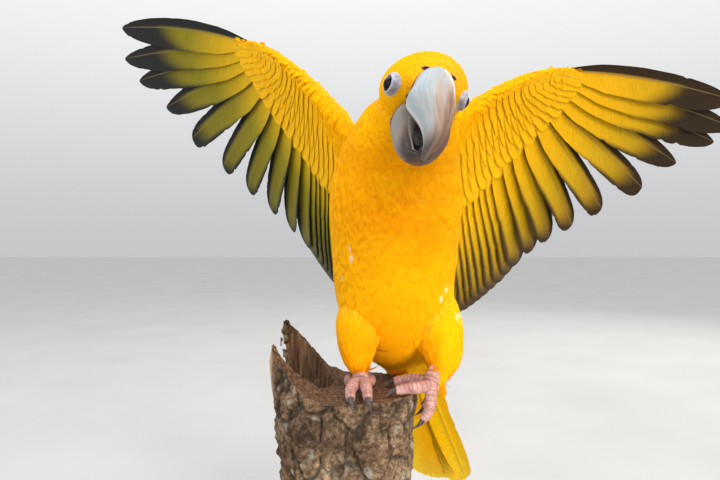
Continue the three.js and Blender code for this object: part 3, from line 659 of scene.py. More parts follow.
def bill_rings(sizes, steps, sides, fullness=1.0, gather=0.0):
    """Rings of a bill half in the head's frame, from ridge to cutting edge, their points gathered towards that edge."""
    share = np.linspace(0, 1, steps + 1)
    top = at_share([(0, -f, u) for f, u in sizes["ridge"]], share)
    low = at_share([(0, -f, u) for f, u in sizes["edge"]], share)
    wide = np.maximum(size_at(sizes["half"], share), 0.5)
    turn = turns(sides)
    turn = turn + gather * np.sin(turn)
    lift, side = np.cos(turn), np.sin(turn)
    bulge = np.sign(side) * np.where(lift < 0, np.abs(side) ** 0.4, np.abs(side) ** sizes["roof"])
    middle, reach = (top + low) / 2, (top - low) / 2
    rings = middle[:, None] + reach[:, None] * lift[None, :, None] * fullness
    aside = size_at(sizes["aside"], share)
    rings = rings + np.array([1.0, 0, 0]) * (wide[:, None] * bulge[None] * fullness + aside[:, None])[:, :, None]
    return rings, share, turn


paint = horn = Finish("bill_horn", Coat_Weight=0.12, Coat_Roughness=0.25, Subsurface_Weight=0.05)
paint.look(Subsurface_Radius=(0.002, 0.0012, 0.0008))
growth = paint.mask("growth", "Vector")
side_way, down_way, _ = paint.split(growth)
line_place = paint.drawn_out(growth, (4, 1.8, 0))
lines = paint.noise(line_place, 2.2, 6, Roughness=0.66, Distortion=0.9)
blotch = paint.noise(growth, 3.2, 4, Distortion=0.5)
# The bird's right side (side_way below 0) is kept pale and bluish further down: a painted sky reflection.
warm_share = paint.math("ADD", paint.times(side_way, 0.42), paint.scaled(down_way, 0.9, -0.05))
warm_share = paint.math("ADD", warm_share, paint.scaled(blotch, 1.0, -0.5), clamp=True)
horn_colour = paint.ramp(
    warm_share, (0.0, 0.38, 0.46, 0.52), (0.28, 0.48, 0.48, 0.47), (0.46, 0.5, 0.37, 0.3), (0.7, 0.34, 0.2, 0.13),
    (1.0, 0.18, 0.1, 0.055),
)
pale_line = paint.mix(paint.rise(lines, 0.2, 0.8), (0.8, 0.77, 0.75), (1.12, 1.12, 1.12))
horn_colour = paint.tinted(horn_colour, pale_line)
nicks = paint.node("TexVoronoi", {"Vector": line_place, "Scale": 1.1}, feature="F1").outputs["Distance"]
worn = paint.times(paint.rise(nicks, 0.22, 0.07), paint.rise(blotch, 0.46, 0.56))
horn_colour = paint.mix(paint.times(worn, 0.8), horn_colour, (0.22, 0.12, 0.1))
tip_side = paint.rise(paint.scaled(lines, -0.8, side_way), 0.0, -0.8)
horn_colour = paint.mix(paint.times(paint.rise(down_way, 0.68, 0.9), tip_side), horn_colour, (0.06, 0.048, 0.044))
horn_colour = paint.mix(paint.mask("jaw"), horn_colour, paint.tinted(horn_colour, (0.6, 0.48, 0.4)))
# Along the cutting edges the horn is painted paler, partly its own pale rim and partly a painted highlight; inside them
# it is painted near black, as painted shade.
horn_colour = paint.mix(paint.times(paint.mask("pale_rim_and_highlight"), 0.5), horn_colour, (0.75, 0.7, 0.66))
horn_colour = paint.mix(paint.mask("lining_shade"), horn_colour, (0.05, 0.042, 0.04))
# The collar mask paints a dark reddish line where the feathers meet the horn, a painted shadow; the darker streaks with
# it are the horn's own.
streaks_and_root_shadow = paint.math("MULTIPLY_ADD", lines, 0.5, paint.math("SUBTRACT", paint.mask("collar"), 0.25), clamp=True)
paint.look(
    Base_Color=paint.mix(streaks_and_root_shadow, horn_colour, (0.16, 0.055, 0.045)), Roughness=paint.rise(lines, -1.2, 2.2)
)
paint.relief(lines, 0.35, 0.0004)


def horn_piece(name, rings, share, turn, node, jaw):
    """One horn sheath with the masks its material needs. Jaw is 0 for the upper half and 1 for the lower."""
    points, faces = closed_tube(rings)
    made = piece_from(name, bird(in_head(points)), faces, horn)
    age = 0.3 * jaw
    around, down, edge = np.sin(turn)[None], age + (1 - age) * share[:, None], (1 - np.cos(turn))[None] / 2
    growth = np.stack(np.broadcast_arrays(around, down, edge), -1).reshape(-1, 3)
    point_vector(made, "growth", np.concatenate([growth, [(0, age, 0.5), (0, 1, 0.5)]]))
    placed = in_head(points)
    near, out = nearest_on_skin(placed)
    point_value(made, "jaw", np.full(len(points), jaw))
    inward = np.where(np.cos(turn) < 0, np.abs(np.sin(turn)), 1) if jaw else 1 - (1 - np.cos(turn)) / 2
    pale, dark = ((0.42, 0.27), (0.24, 0.12)) if jaw else ((0.5, 0.34), (0.28, 0.16))
    # The pale-rim mask is partly a painted highlight, and the lining mask is painted shade inside the cutting edge.
    for mask, (start, full) in (("pale_rim_and_highlight", pale), ("lining_shade", dark)):
        value = np.broadcast_to(smoothstep(-inward, -start, -full)[None], rings.shape[:2]).ravel()
        point_value(made, mask, np.append(value, [0, 0]))
    # Painted shadow where the feathers meet the horn.
    point_value(made, "collar", 1 - smoothstep(np.sum((placed - near) * out, 1), 1.9, 3.6))
    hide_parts(node)


BILL_SIDES = 72
upper_rings, share, turn = bill_rings(UPPER_BILL, 70, BILL_SIDES)
# Growth ridges run down the sheath.
ripple = 1 + 0.004 * np.sin(turn * 7 + 1.3 + 3 * share[:, None]) * np.sin(share * 3.1)[:, None]
middle = upper_rings.mean(1, keepdims=True)
upper_rings = middle + (upper_rings - middle) * ripple[:, :, None]
horn_piece("bill_upper_horn", upper_rings, share, turn, "bill_upper", 0)

lower_rings, share, turn = bill_rings(LOWER_BILL, 48, BILL_SIDES, gather=0.7)
# The edge side is pressed in to make the scoop.
hollow = smoothstep(-np.cos(turn), 0.2, 0.75)[None] * smoothstep(np.sin(math.pi * share), 0.0, 0.5)[:, None]
hollow = 0.8 * hollow * smoothstep(-np.abs(np.sin(turn)), -0.26, -0.07)[None]
inside = lower_rings.mean(1, keepdims=True) + np.array([0, 1.5, -3.5])
lower_rings = lower_rings + (inside - lower_rings) * hollow[:, :, None]
horn_piece("bill_lower_horn", lower_rings, share, turn, "bill_lower", 1)

paint = mouth_skin = Finish("mouth_skin", Roughness=0.4, Specular_IOR_Level=0.5)
papilla = paint.noise(paint.place(), 900, 3)
paint.look(Base_Color=paint.ramp(papilla, (0.3, 0.035, 0.03, 0.03), (0.7, 0.1, 0.085, 0.08)))
paint.relief(papilla, 0.4, 0.0003)
TONGUE_LINE = [(0, -6, -22), (0, -10, -21.5), (0, -14.5, -23), (0, -17.5, -25.5), (0, -19.5, -28)]
points, faces = limb(TONGUE_LINE, [4, 5.4, 5.8, 4.8, 2.2], [3, 3.6, 3.6, 3.2, 1.6], 24, 32)
tongue = piece_from("tongue_fleshy", bird(in_head(points)), faces, mouth_skin)
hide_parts("tongue")

# Eyes: dark brown iris under a clear wet cornea, in a disc of bare bluish-white skin with two swollen lids.
# The disc is finely wrinkled and lies flush with the face.
EYE_RADIUS = 4.2
BARE = {"right": 5.7, "left": 5.0}  # radius of the bare disc
SIDES = ((-1, "right"), (1, "left"))
BALL_SIDES, LID_SIDES = 48, 96
# The middle of each eye in the head's frame, and its turn towards the bill
SOCKETS = {
    side: (np.array([side * 15.9, -6.2, side * 1.5 - 2.2]), np.array(turned(-side * 12, "Z"))) for side, _ in SIDES
}


def at_eye(side, points):
    """From the eye's own frame, +X out of the socket, to the head's."""
    middle, turn = SOCKETS[side]
    return np.asarray(points, float) * [side, 1, 1] @ turn.T + middle


paint = eye_wet = Finish("eye_wet", Roughness=0.03, Specular_IOR_Level=0.12)
iris = paint.ramp(
    paint.mask("radial"), (0.0, 0.002, 0.002, 0.002), (0.4, 0.002, 0.002, 0.002), (0.5, 0.012, 0.006, 0.004),
    (0.62, 0.008, 0.004, 0.003), (0.72, 0.003, 0.003, 0.004),
)
iris_fleck = paint.rise(paint.noise(paint.place(), 2600, 3), 0.2, 0.8)
paint.look(Base_Color=paint.mix(iris_fleck, iris, paint.tinted(iris, (1.6, 1.5, 1.4))))

paint = bare_face = Finish("bare_face", Roughness=0.55, Subsurface_Weight=0.1)
paint.look(Subsurface_Radius=(0.0015, 0.0008, 0.0006))
where = paint.place()
pits = paint.node("TexVoronoi", {"Vector": where, "Scale": 1500.0}).outputs["Distance"]
mottle = paint.noise(where, 420, 4)
pale = paint.ramp(mottle, (0.35, 0.34, 0.35, 0.42), (0.55, 0.52, 0.53, 0.6), (0.72, 0.68, 0.69, 0.73))
pale = paint.mix(paint.times(paint.rise(pits, 0.45, 0.7), 0.5), pale, (0.24, 0.24, 0.3))
paint.look(Base_Color=paint.mix(paint.rise(paint.mask("radial"), 0.17, 0.03), pale, (0.06, 0.05, 0.07)))
paint.relief(pits, 0.5, 0.0003)

for side, name in SIDES:
    polar = np.linspace(0, np.pi, 33)
    turn = turns(BALL_SIDES)
    radius = EYE_RADIUS * (1 + 0.045 * np.exp(-((polar / 0.55) ** 2)))
    out = (radius * np.cos(polar))[:, None] * np.ones(BALL_SIDES)
    # Behind the lids the ball is held to the opening's width and narrows towards its back.
    away = np.minimum(EYE_RADIUS * np.sin(polar), 3.4)[:, None] * np.clip((out + EYE_RADIUS) / 6.6, 0, 1) ** 1.6
    rings = np.stack([out, away * np.cos(turn), away * np.sin(turn)], -1)[::-side]
    points, faces = closed_tube(rings)
    eye = piece_from(f"eye_{name}_glass", bird(in_head(at_eye(side, points))), faces, eye_wet)
    value = np.where(out < 0, 1, np.sin(polar)[:, None])[::-side]
    point_value(eye, "radial", np.append(value.ravel(), [0, 0]))
    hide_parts(f"eye_{name}")

    reach = BARE[name]
    away = np.concatenate([np.linspace(3.1, 4.4, 14), np.linspace(4.5, reach, 10)])
    turn = turns(LID_SIDES)
    dome = -0.2 + 3.05 * np.sqrt(np.maximum(0, 1 - (away / 6.9) ** 2)) - 1.5 * smoothstep(away, 4.4, reach)
    swollen = 0.4 * np.exp(-(((away - 3.8) / 0.32) ** 2)) - 0.25 * np.exp(-(((away - 4.5) / 0.25) ** 2))
    rim = swollen - 1.6 * smoothstep(-away, -3.6, -3.1)
    height = (dome + rim)[:, None] * np.ones(LID_SIDES)
    # The folds run round the eye and break up towards its corners.
    folds = 0.13 * np.sin(away * 8.5) * smoothstep(away, 5, 6)
    height = height + folds[:, None] * (0.6 + 0.4 * np.sin(turn * 5 + 0.7))
    height = height + 0.06 * np.sin(turn * 31)[None] * smoothstep(away, 3.5, 4.5)[:, None]
    # The opening is drawn out a little to its two corners.
    stretch = 1 + 0.1 * (np.abs(np.cos(turn - 0.35)) ** 6)[None] * smoothstep(-away, -5.2, -3.9)[:, None]
    rings = np.stack([height, away[:, None] * stretch * np.cos(turn), away[:, None] * stretch * np.sin(turn)], -1)
    faces = tube_faces(len(away), LID_SIDES)[:, ::side]
    lids = in_head(at_eye(side, rings.reshape(-1, 3)))
    near, outward = nearest_on_skin(lids)
    # Its outer part lies flush with the feathers round it.
    flush = np.repeat(smoothstep(away, 4.2, reach - 0.5), LID_SIDES)[:, None]
    sunk = np.repeat(smoothstep(away, reach - 0.8, reach), LID_SIDES)[:, None]
    lids = lids * (1 - flush) + (near + outward * (0.6 - 0.6 * sunk)) * flush
    disc = piece_from(f"eyelids_{name}", bird(lids), faces, bare_face)
    point_value(disc, "radial", np.repeat((away - 3.2) / 3.3, LID_SIDES))

# Nostrils and the folds at the corners of the mouth: small dark holes in the feather edge over the bill, and
# a thin purplish fold of skin that the horn grows out of.
paint = fold_skin = Finish("bill_fold", Roughness=0.5)
tint = paint.noise(paint.place(), 500, 3)
paint.look(Base_Color=paint.ramp(tint, (0.3, 0.05, 0.012, 0.03), (0.7, 0.16, 0.045, 0.07)))
paint.relief(tint, 0.4, 0.0002)

FOLD_SIDES, NOSTRIL_SIDES = 14, 24
NOSTRIL_STEPS = [(1.9, -0.4), (1.75, 0.15), (1.4, 0.4), (1.05, 0.2), (0.85, -0.4), (0.6, -1.0), (0.05, -1.1)]
for side, name in SIDES:
    # The fold hangs from the upper cutting edge, from the corner of the mouth half way to the notch.
    column = int(round((0.5 - side * 0.17) * BILL_SIDES))
    edge_line = upper_rings[2:34, column] + [side * 0.7, -0.4, -0.9]
    share = np.linspace(0, 1, 24)
    centre = at_share(edge_line[:: len(edge_line) // 8], share)
    x, z = np.cos(turns(FOLD_SIDES)), np.sin(turns(FOLD_SIDES))
    thick = 0.95 * np.sin(np.pi * np.clip(share * 0.9 + 0.1, 0, 1)) ** 0.5 * (1 + 0.12 * np.sin(share * 40)) + 0.05
    section = np.stack([x, np.zeros(FOLD_SIDES), z * 1.3], -1)
    points, faces = closed_tube(centre[:, None] + section[None] * thick[:, None, None])
    piece_from(f"gape_fold_{name}", bird(in_head(points)), faces, fold_skin)
    # A second fold skirts the root of the lower half, from its cutting edge down its side.
    columns = (np.arange(0, 50, 2) * -side + BILL_SIDES // 2) % BILL_SIDES
    root_line = []
    for column in columns:
        points = lower_rings[:30, column]
        near, out = nearest_on_skin(in_head(points))
        bare = np.sum((in_head(points) - near) * out, 1) > 2.2
        root_line.append(points[bare.argmax() if bare.any() else 12])
    root_line = np.array(root_line)
    for _ in range(3):
        root_line[1:-1] = (root_line[:-2] + root_line[1:-1] * 2 + root_line[2:]) / 4
    centre = at_share(root_line[::3], share)
    section = np.stack([x, z, np.zeros(FOLD_SIDES)], -1)
    points, faces = closed_tube((centre[:, None] + section[None] * (thick * 1.2)[:, None, None])[::side])
    piece_from(f"gape_root_{name}", bird(in_head(points)), faces, fold_skin)

    x, z = np.cos(turns(NOSTRIL_SIDES)), np.sin(turns(NOSTRIL_SIDES))
    rings = []
    for r, h in NOSTRIL_STEPS:
        back = np.full(NOSTRIL_SIDES, -18.0 - 0.5 * h)
        rings.append(np.stack([side * 6.1 + 1.1 * r * x, back, 5 + 0.5 * r * (z - 0.4 * side * x)], -1))
    faces = tube_faces(len(rings), NOSTRIL_SIDES)
    piece_from(f"nostril_{name}", bird(in_head(np.concatenate(rings))), faces, fold_skin)

# Small feathers of head, neck, body, thighs and arms: thin curved leaves with split tips, each rooted in the
# skin and lying along the coat. They are set in drifts that run from the bill to the tail.
rng = np.random.default_rng(7)
LEAF_RIM = np.array([
    (0, 0), (0.3, 0.12), (0.5, 0.42), (0.5, 0.64), (0.3, 0.72), (0.1, 0.76), (-0.12, 0.75), (-0.33, 0.7), (-0.5, 0.6),
    (-0.5, 0.4), (-0.3, 0.12),
])
LEAF_SPINE = np.array([(0, 0.2), (0, 0.5)])
# The split ends, each on the stretch of rim that starts at its number
LEAF_ENDS = {3: (0.43, 0.93), 4: (0.2, 1.04), 5: (-0.02, 1.0), 6: (-0.24, 1.06), 7: (-0.43, 0.9)}


def leaf_template():
    """A leaf's points (across, along, share of thickness) and triangles: two sheets that meet at the rim, with
    its split ends."""
    count = len(LEAF_RIM)
    owner = np.digitize(LEAF_RIM[:, 1], [0.36])
    sheet = []
    for i in range(count):
        j = (i + 1) % count
        sheet.append((i, j, count + owner[i]))
        if owner[i] != owner[j]:
            sheet.append((j, count + owner[j], count + owner[i]))
    sheet = np.array(sheet)
    flat = np.concatenate([LEAF_RIM, LEAF_SPINE])
    size = len(flat)
    middle = np.arange(size) >= count
    upper = np.column_stack([flat, np.where(middle, 0.5, 0)])
    lower = np.column_stack([flat, np.where(middle, -0.5, 0)])
    ends = np.column_stack([list(LEAF_ENDS.values()), np.zeros(len(LEAF_ENDS))])
    prongs = [(start, 2 * size + k, start + 1) for k, start in enumerate(LEAF_ENDS)]
    return np.concatenate([upper, lower, ends]), np.concatenate([sheet, sheet[:, ::-1] + size, prongs])


LEAF_POINTS, LEAF_FACES = leaf_template()


def drawn_roots(points, quads, chosen, spacing):
    """Places spread evenly over the chosen faces of the skin, about spacing apart."""
    corner = points[quads[chosen]]
    area = np.linalg.norm(np.cross(corner[:, 1] - corner[:, 0], corner[:, 3] - corner[:, 0]), axis=1)
    wanted = int(area.sum() / spacing**2 * 5)
    pick = rng.choice(len(corner), wanted, p=area / area.sum())
    u, v = rng.random((2, wanted, 1))
    c = corner[pick]
    drawn = c[:, 0] * (1 - u) * (1 - v) + c[:, 1] * u * (1 - v) + c[:, 2] * u * v + c[:, 3] * (1 - u) * v
    tree = kdtree.KDTree(wanted)
    for i, p in enumerate(drawn.tolist()):
        tree.insert(p, i)
    tree.balance()
    open_ = np.ones(wanted, bool)
    kept = []
    for i in range(wanted):
        if open_[i]:
            kept.append(i)
            for _, j, _ in tree.find_range(drawn[i].tolist(), spacing):
                open_[j] = False
    return drawn[kept]


LEG_SHARES = np.linspace(0, 1, 30)
spine_share = np.linspace(0, 1, 160)
spine_centre, spine_across, spine_fore, spine_along = limb_frames(SPINE, spine_share)


def trunk_place(points):
    """Nearest share along the trunk, its direction there, and the angle round it."""
    gap = np.linalg.norm(points[:, None] - spine_centre[None], axis=2)
    near = gap.argmin(1)
    out = points - spine_centre[near]
    angle = np.arctan2(np.sum(out * spine_fore[near], 1), np.sum(out * spine_across[near], 1))
    return spine_share[near], spine_along[near], angle


def lie_of_coat(points, normals):
    """The way the feathers point: away from the bill over the head, then down the body to the tail."""
    local = from_head(points)
    away = unit(local - [0, -26, -6]) @ head_turn.T
    _, along, _ = trunk_place(points)
    share = smoothstep(np.linalg.norm(local - [0, 2, 0], axis=1), 17, 36)[:, None]
    flow = away * (1 - share) - along * share
    for line, _ in THIGHS.values():
        leg = at_share(line, LEG_SHARES)
        gap = np.linalg.norm(points[:, None] - leg[None], axis=2)
        way = unit(np.gradient(leg, axis=0))[gap.argmin(1)]
        pull = (smoothstep(-gap.min(1), -17, -11) * smoothstep(-points[:, 2], -48, -34))[:, None]
        flow = flow * (1 - pull) + way * pull
    for wing in WINGS.values():
        flat = off_wing(wing, points)
        angle = np.radians(np.interp(flat[:, 0], [r[0] for r in ROOTS][::-1], wing["fan"][::-1]))
        # Along the leading edge the small feathers run out to the hand before they turn back.
        angle *= smoothstep(flat[:, 1], -62, -18) * 0.7 + 0.3
        way = np.cos(angle)[:, None] * wing["plane"][0] + np.sin(angle)[:, None] * wing["plane"][1]
        pull = (smoothstep(flat[:, 0], 0, 16) * smoothstep(-np.abs(flat[:, 2]), -16, -10))[:, None]
        flow = flow * (1 - pull) + way * pull
    flow -= normals * np.sum(flow * normals, 1)[:, None]
    return unit(flow)


def softened(made, facing, share):
    """Turns the shading of each point towards the coat's own, so that the feathers read as one sleek surface."""
    own = values_of(made.data.vertices, "normal", 3)
    facing = facing * np.where(np.sum(own * facing, 1) < 0, -1, 1)[:, None]
    made.data.normals_split_custom_set_from_vertices(unit(own * (1 - share) + facing * share).tolist())


def lay_out(made, per_point):
    """Gives the piece its own map, a place for each point."""
    layer = made.data.uv_layers.new(name="OFBake")
    corner = values_of(made.data.loops, "vertex_index", 1, np.int32)
    layer.data.foreach_set("uv", per_point[corner].astype(np.float32).ravel())


LEAF_THICKNESS = 0.08
LEAF_ARCH = 0.05  # height of its arch as a share of its width
LEAF_PATCH = 0.003  # a leaf's size on the map


def leaves(name, roots, normals, flow, length, width, lift, bake):
    """Joins one leaf feather at each root into a piece, each bent to follow the skin under it."""
    count = len(roots)
    twist = rng.normal(0, 0.13, count)[:, None]
    side = np.cross(flow, normals)
    way = unit(flow * np.cos(twist) + side * np.sin(twist))
    side = np.cross(way, normals)
    length = length * rng.uniform(0.85, 1.18, count)
    width = width * rng.uniform(0.85, 1.15, count)
    tip = roots + way * length[:, None]
    drop = np.sum((tip - nearest_on_skin(tip)[0]) * normals, 1)
    flank = roots + way * length[:, None] * 0.5 + side * width[:, None] * 0.5
    spread = np.sum((flank - nearest_on_skin(flank)[0]) * normals, 1) - drop * 0.25
    drop, spread = np.clip(drop, -2, 6), np.clip(spread, -0.5, 2.5)
    lift = lift * rng.uniform(0.7, 1.35, count)
    across, along, body = LEAF_POINTS.T
    height = (
        lift[:, None] * along**1.1
        - 0.3 * (1 - along) ** 2
        - drop[:, None] * along**2
        - (spread[:, None] + LEAF_ARCH * width[:, None]) * (2 * across) ** 2
        + LEAF_ARCH * width[:, None] * 0.5
        + body * LEAF_THICKNESS * (1 - 0.5 * along)
    )
    ragged = 1 + rng.normal(0, 0.05, (count, len(along))) * (along > 0.8)
    points = (
        roots[:, None]
        + way[:, None] * (along * ragged * length[:, None])[:, :, None]
        + side[:, None] * (across * width[:, None])[:, :, None]
        + normals[:, None] * height[:, :, None]
    )
    faces = LEAF_FACES[None] + (np.arange(count) * len(along))[:, None, None]
    made = piece_from(name, bird(points.reshape(-1, 3)), faces.reshape(-1, 3), body_feather)
    softened(made, np.repeat(normals, len(along), axis=0), 0.85)
    vane = np.stack(np.broadcast_arrays(across * 2, along, length[:, None]), -1)
    point_vector(made, "vane", vane.reshape(-1, 3))
    point_value(made, "seed", np.repeat(rng.random(count), len(along)))
    patch = bake[:, None] + np.stack([across, along - 0.5], -1)[None] * LEAF_PATCH
    lay_out(made, patch.reshape(-1, 2))
    return made


paint = body_feather = Finish("body_feather", Roughness=0.8, Specular_IOR_Level=0.05)
paint.look(Sheen_Weight=0.03, Sheen_Roughness=0.4, Sheen_Tint=(1, 0.8, 0.3))
seed = paint.mask("seed")
vane_place = {"Vane": paint.mask("vane", "Vector"), "Seed": seed}
web = paint.node("Group", vane_place, node_tree=barbs).outputs
own = yellow_with_shade(paint)
# Towards its root each leaf is painted a little darker and warmer: painted shade under the leaf that overlaps it.
rootward_shade = paint.mix(paint.rise(web["Along"], 0.05, 0.75), paint.tinted(own, (1.0, 0.93, 0.9)), own)
rootward_shade = paint.tinted(rootward_shade, paint.mix(seed, (0.97, 0.95, 0.9), (1.0, 1.02, 1.0)))
shifts = {"X": paint.times(web["Across"], 4.5), "Y": paint.times(web["Along"], 1.3), "Z": paint.times(seed, 61.0)}
hair = paint.noise(paint.node("CombineXYZ", shifts).outputs["Vector"], 1, 4, Roughness=0.65)
streaked = paint.mix(paint.rise(hair, 0.34, 0.6), paint.tinted(rootward_shade, (0.93, 0.8, 0.7)), rootward_shade)
paint.look(Base_Color=paint.mix(paint.mask("fleck"), streaked, (0.9, 0.86, 0.74)))
paint.relief(hair, 0.4, 0.0002)

face_centre = skin_mm[skin_quads].mean(1)
head_place = from_head(face_centre)
on_head = (np.linalg.norm(head_place - [0, 2, 0], axis=1) < 24.5) & (head_place[:, 1] < 16)
on_arm = np.zeros(len(face_centre), bool)
for wing in WINGS.values():
    flat = off_wing(wing, face_centre)
    on_arm |= (flat[:, 0] > 10) & (np.abs(flat[:, 2]) < 12) & (flat[:, 1] < 30)
on_thigh = np.zeros(len(face_centre), bool)
for line, radii in THIGHS.values():
    gap = np.linalg.norm(face_centre[:, None] - at_share(line, LEG_SHARES)[None], axis=2)
    near = gap.min(1) - size_at(radii, LEG_SHARES)[gap.argmin(1)]
    on_thigh |= (near < -0.4) & (face_centre[:, 2] < 50)
on_thigh &= ~on_head
on_arm &= ~on_head
on_neck = ~on_head & ~on_arm & ~on_thigh & (face_centre[:, 2] > 116)
on_trunk = ~on_head & ~on_arm & ~on_thigh & ~on_neck
spine_y, spine_z = np.array(SPINE).T[1:]
front_side = face_centre[:, 1] < np.interp(face_centre[:, 2], spine_z, spine_y)

# White flecks on the breast: their places as seen from the front
FLECKS = np.array([(-24, 83), (-23.6, 76), (-29.8, 69), (-14.9, 57), (21.8, 56.5), (27, 60), (29.5, 44)])
FLECK_RADIUS = 1.3
bill_trees = []
for sizes in (UPPER_BILL, LOWER_BILL):
    points, faces = closed_tube(bill_rings(sizes, 24, 32, 1.02)[0])
    bill_trees.append(BVHTree.FromPolygons(points.tolist(), faces.tolist()))


def clear_of_face(roots):
    """False where a root lies in the bill or on the bare skin round an eye."""
    local = from_head(roots)
    keep = np.ones(len(roots), bool)
    for tree in bill_trees:
        for i, p in enumerate(local.tolist()):
            hit, n, _, _ = tree.find_nearest(p)
            keep[i] &= (Vector(p) - hit).dot(n) >= 0.15
    for side, name in SIDES:
        middle, turn = SOCKETS[side]
        eye = (local - middle) @ turn
        keep &= (np.hypot(eye[:, 1], eye[:, 2]) > BARE[name] - 1.8) | (eye[:, 0] * side < -6)
    return keep


def coat(name, chosen, spacing, length, width, lift, bake_of, clear_of=None):
    """Sets leaves over the chosen faces. Width and lift are shares of the length."""
    roots = drawn_roots(skin_mm, skin_quads, chosen, spacing)
    roots, normals = nearest_on_skin(roots)
    if clear_of is not None:
        keep = clear_of(roots)
        roots, normals = roots[keep], normals[keep]
    flow = lie_of_coat(roots, normals)
    size = length(roots) if callable(length) else np.full(len(roots), float(length))
    made = leaves(name, roots, normals, flow, size, size * width, lift * size, bake_of(roots))
    near = np.linalg.norm(roots[:, None, [0, 2]] - FLECKS[None], axis=2).min(1)
    white = (near < FLECK_RADIUS) & (normals[:, 1] < -0.1)
    along = np.tile(LEAF_POINTS[:, 1], len(roots))
    point_value(made, "fleck", np.repeat(white, len(LEAF_POINTS)) * smoothstep(along, 0.5, 0.9) * 0.8)


def unrolled(angle, share):
    """A place on the map from an angle round a form and a share along it."""
    return np.stack([0.02 + 0.96 * (angle / (2 * np.pi) + 0.5), 0.02 + 0.96 * share], -1)


def trunk_map(roots):
    share, _, angle = trunk_place(roots)
    return unrolled(angle, share)


def head_map(roots):
    """The head unrolled about its line from bill to nape."""
    local = from_head(roots)
    polar = np.arccos(np.clip(unit(local)[:, 1], -1, 1)) / np.pi
    return unrolled(np.arctan2(local[:, 0], local[:, 2]), polar)


def face_length(roots):
    """Leaves are shortest round the bill and grow longer towards the nape."""
    local = from_head(roots)
    return np.interp(np.linalg.norm(local - [0, -20, -6], axis=1), [8, 16, 26, 40], [1.9, 2.9, 4.4, 5.6])


coat("coat_head", on_head, 1.0, face_length, 0.42, 0.045, head_map, clear_of_face)
coat("coat_neck", on_neck, 1.45, 7.8, 0.36, 0.03, trunk_map, clear_of_face)
coat("coat_breast", on_trunk & front_side, 1.62, 10.8, 0.32, 0.025, trunk_map)
coat("coat_back", on_trunk & ~front_side, 1.75, 10.8, 0.36, 0.03, trunk_map)
coat("coat_thighs", on_thigh, 1.45, 9, 0.32, 0.03, trunk_map)


def arm_map(roots):
    """Both arms laid flat, upper faces beside lower ones."""
    spots = np.zeros((len(roots), 2))
    for k, wing in enumerate(WINGS.values()):
        flat = off_wing(wing, roots)
        mine = (roots[:, 0] < 0) == (k == 0)
        u = (flat[:, 0] + 20) / 125 * 0.44 + 0.03 + (flat[:, 2] > 0) * 0.49
        v = (flat[:, 1] + 65) / 105 * 0.44 + 0.03 + k * 0.5
        spots[mine] = np.stack([u, v], -1)[mine]
    return spots


coat("coat_arms", on_arm, 1.4, 6.0, 0.42, 0.02, arm_map)

# Flight feathers and their coverts: long vanes, each with a horny shaft, a narrow leading web and a wide
# trailing one, shingled so that each lies over the next. They are rooted in the hand and forearm.
# Outlines of vanes: share of the length, and half width there as a share of the widest
POINTED = [
    (0, 0.2), (0.08, 0.5), (0.2, 0.82), (0.4, 0.98), (0.6, 0.97), (0.75, 0.88), (0.86, 0.7), (0.94, 0.46), (0.98, 0.24),
    (1, 0.05),
]
ROUNDED = [
    (0, 0.25), (0.08, 0.55), (0.25, 0.9), (0.5, 0.99), (0.75, 0.99), (0.87, 0.92), (0.94, 0.74), (0.98, 0.46),
    (1, 0.08),
]
COVERT_VANE = [(0, 0.3), (0.2, 0.75), (0.5, 1.0), (0.75, 0.98), (0.9, 0.8), (0.97, 0.5), (1, 0.1)]
ACROSS = np.array([1, 0.86, 0.66, 0.42, 0.18, 0.05, 0, -0.04, -0.14, -0.32, -0.54, -0.74, -0.9, -1])


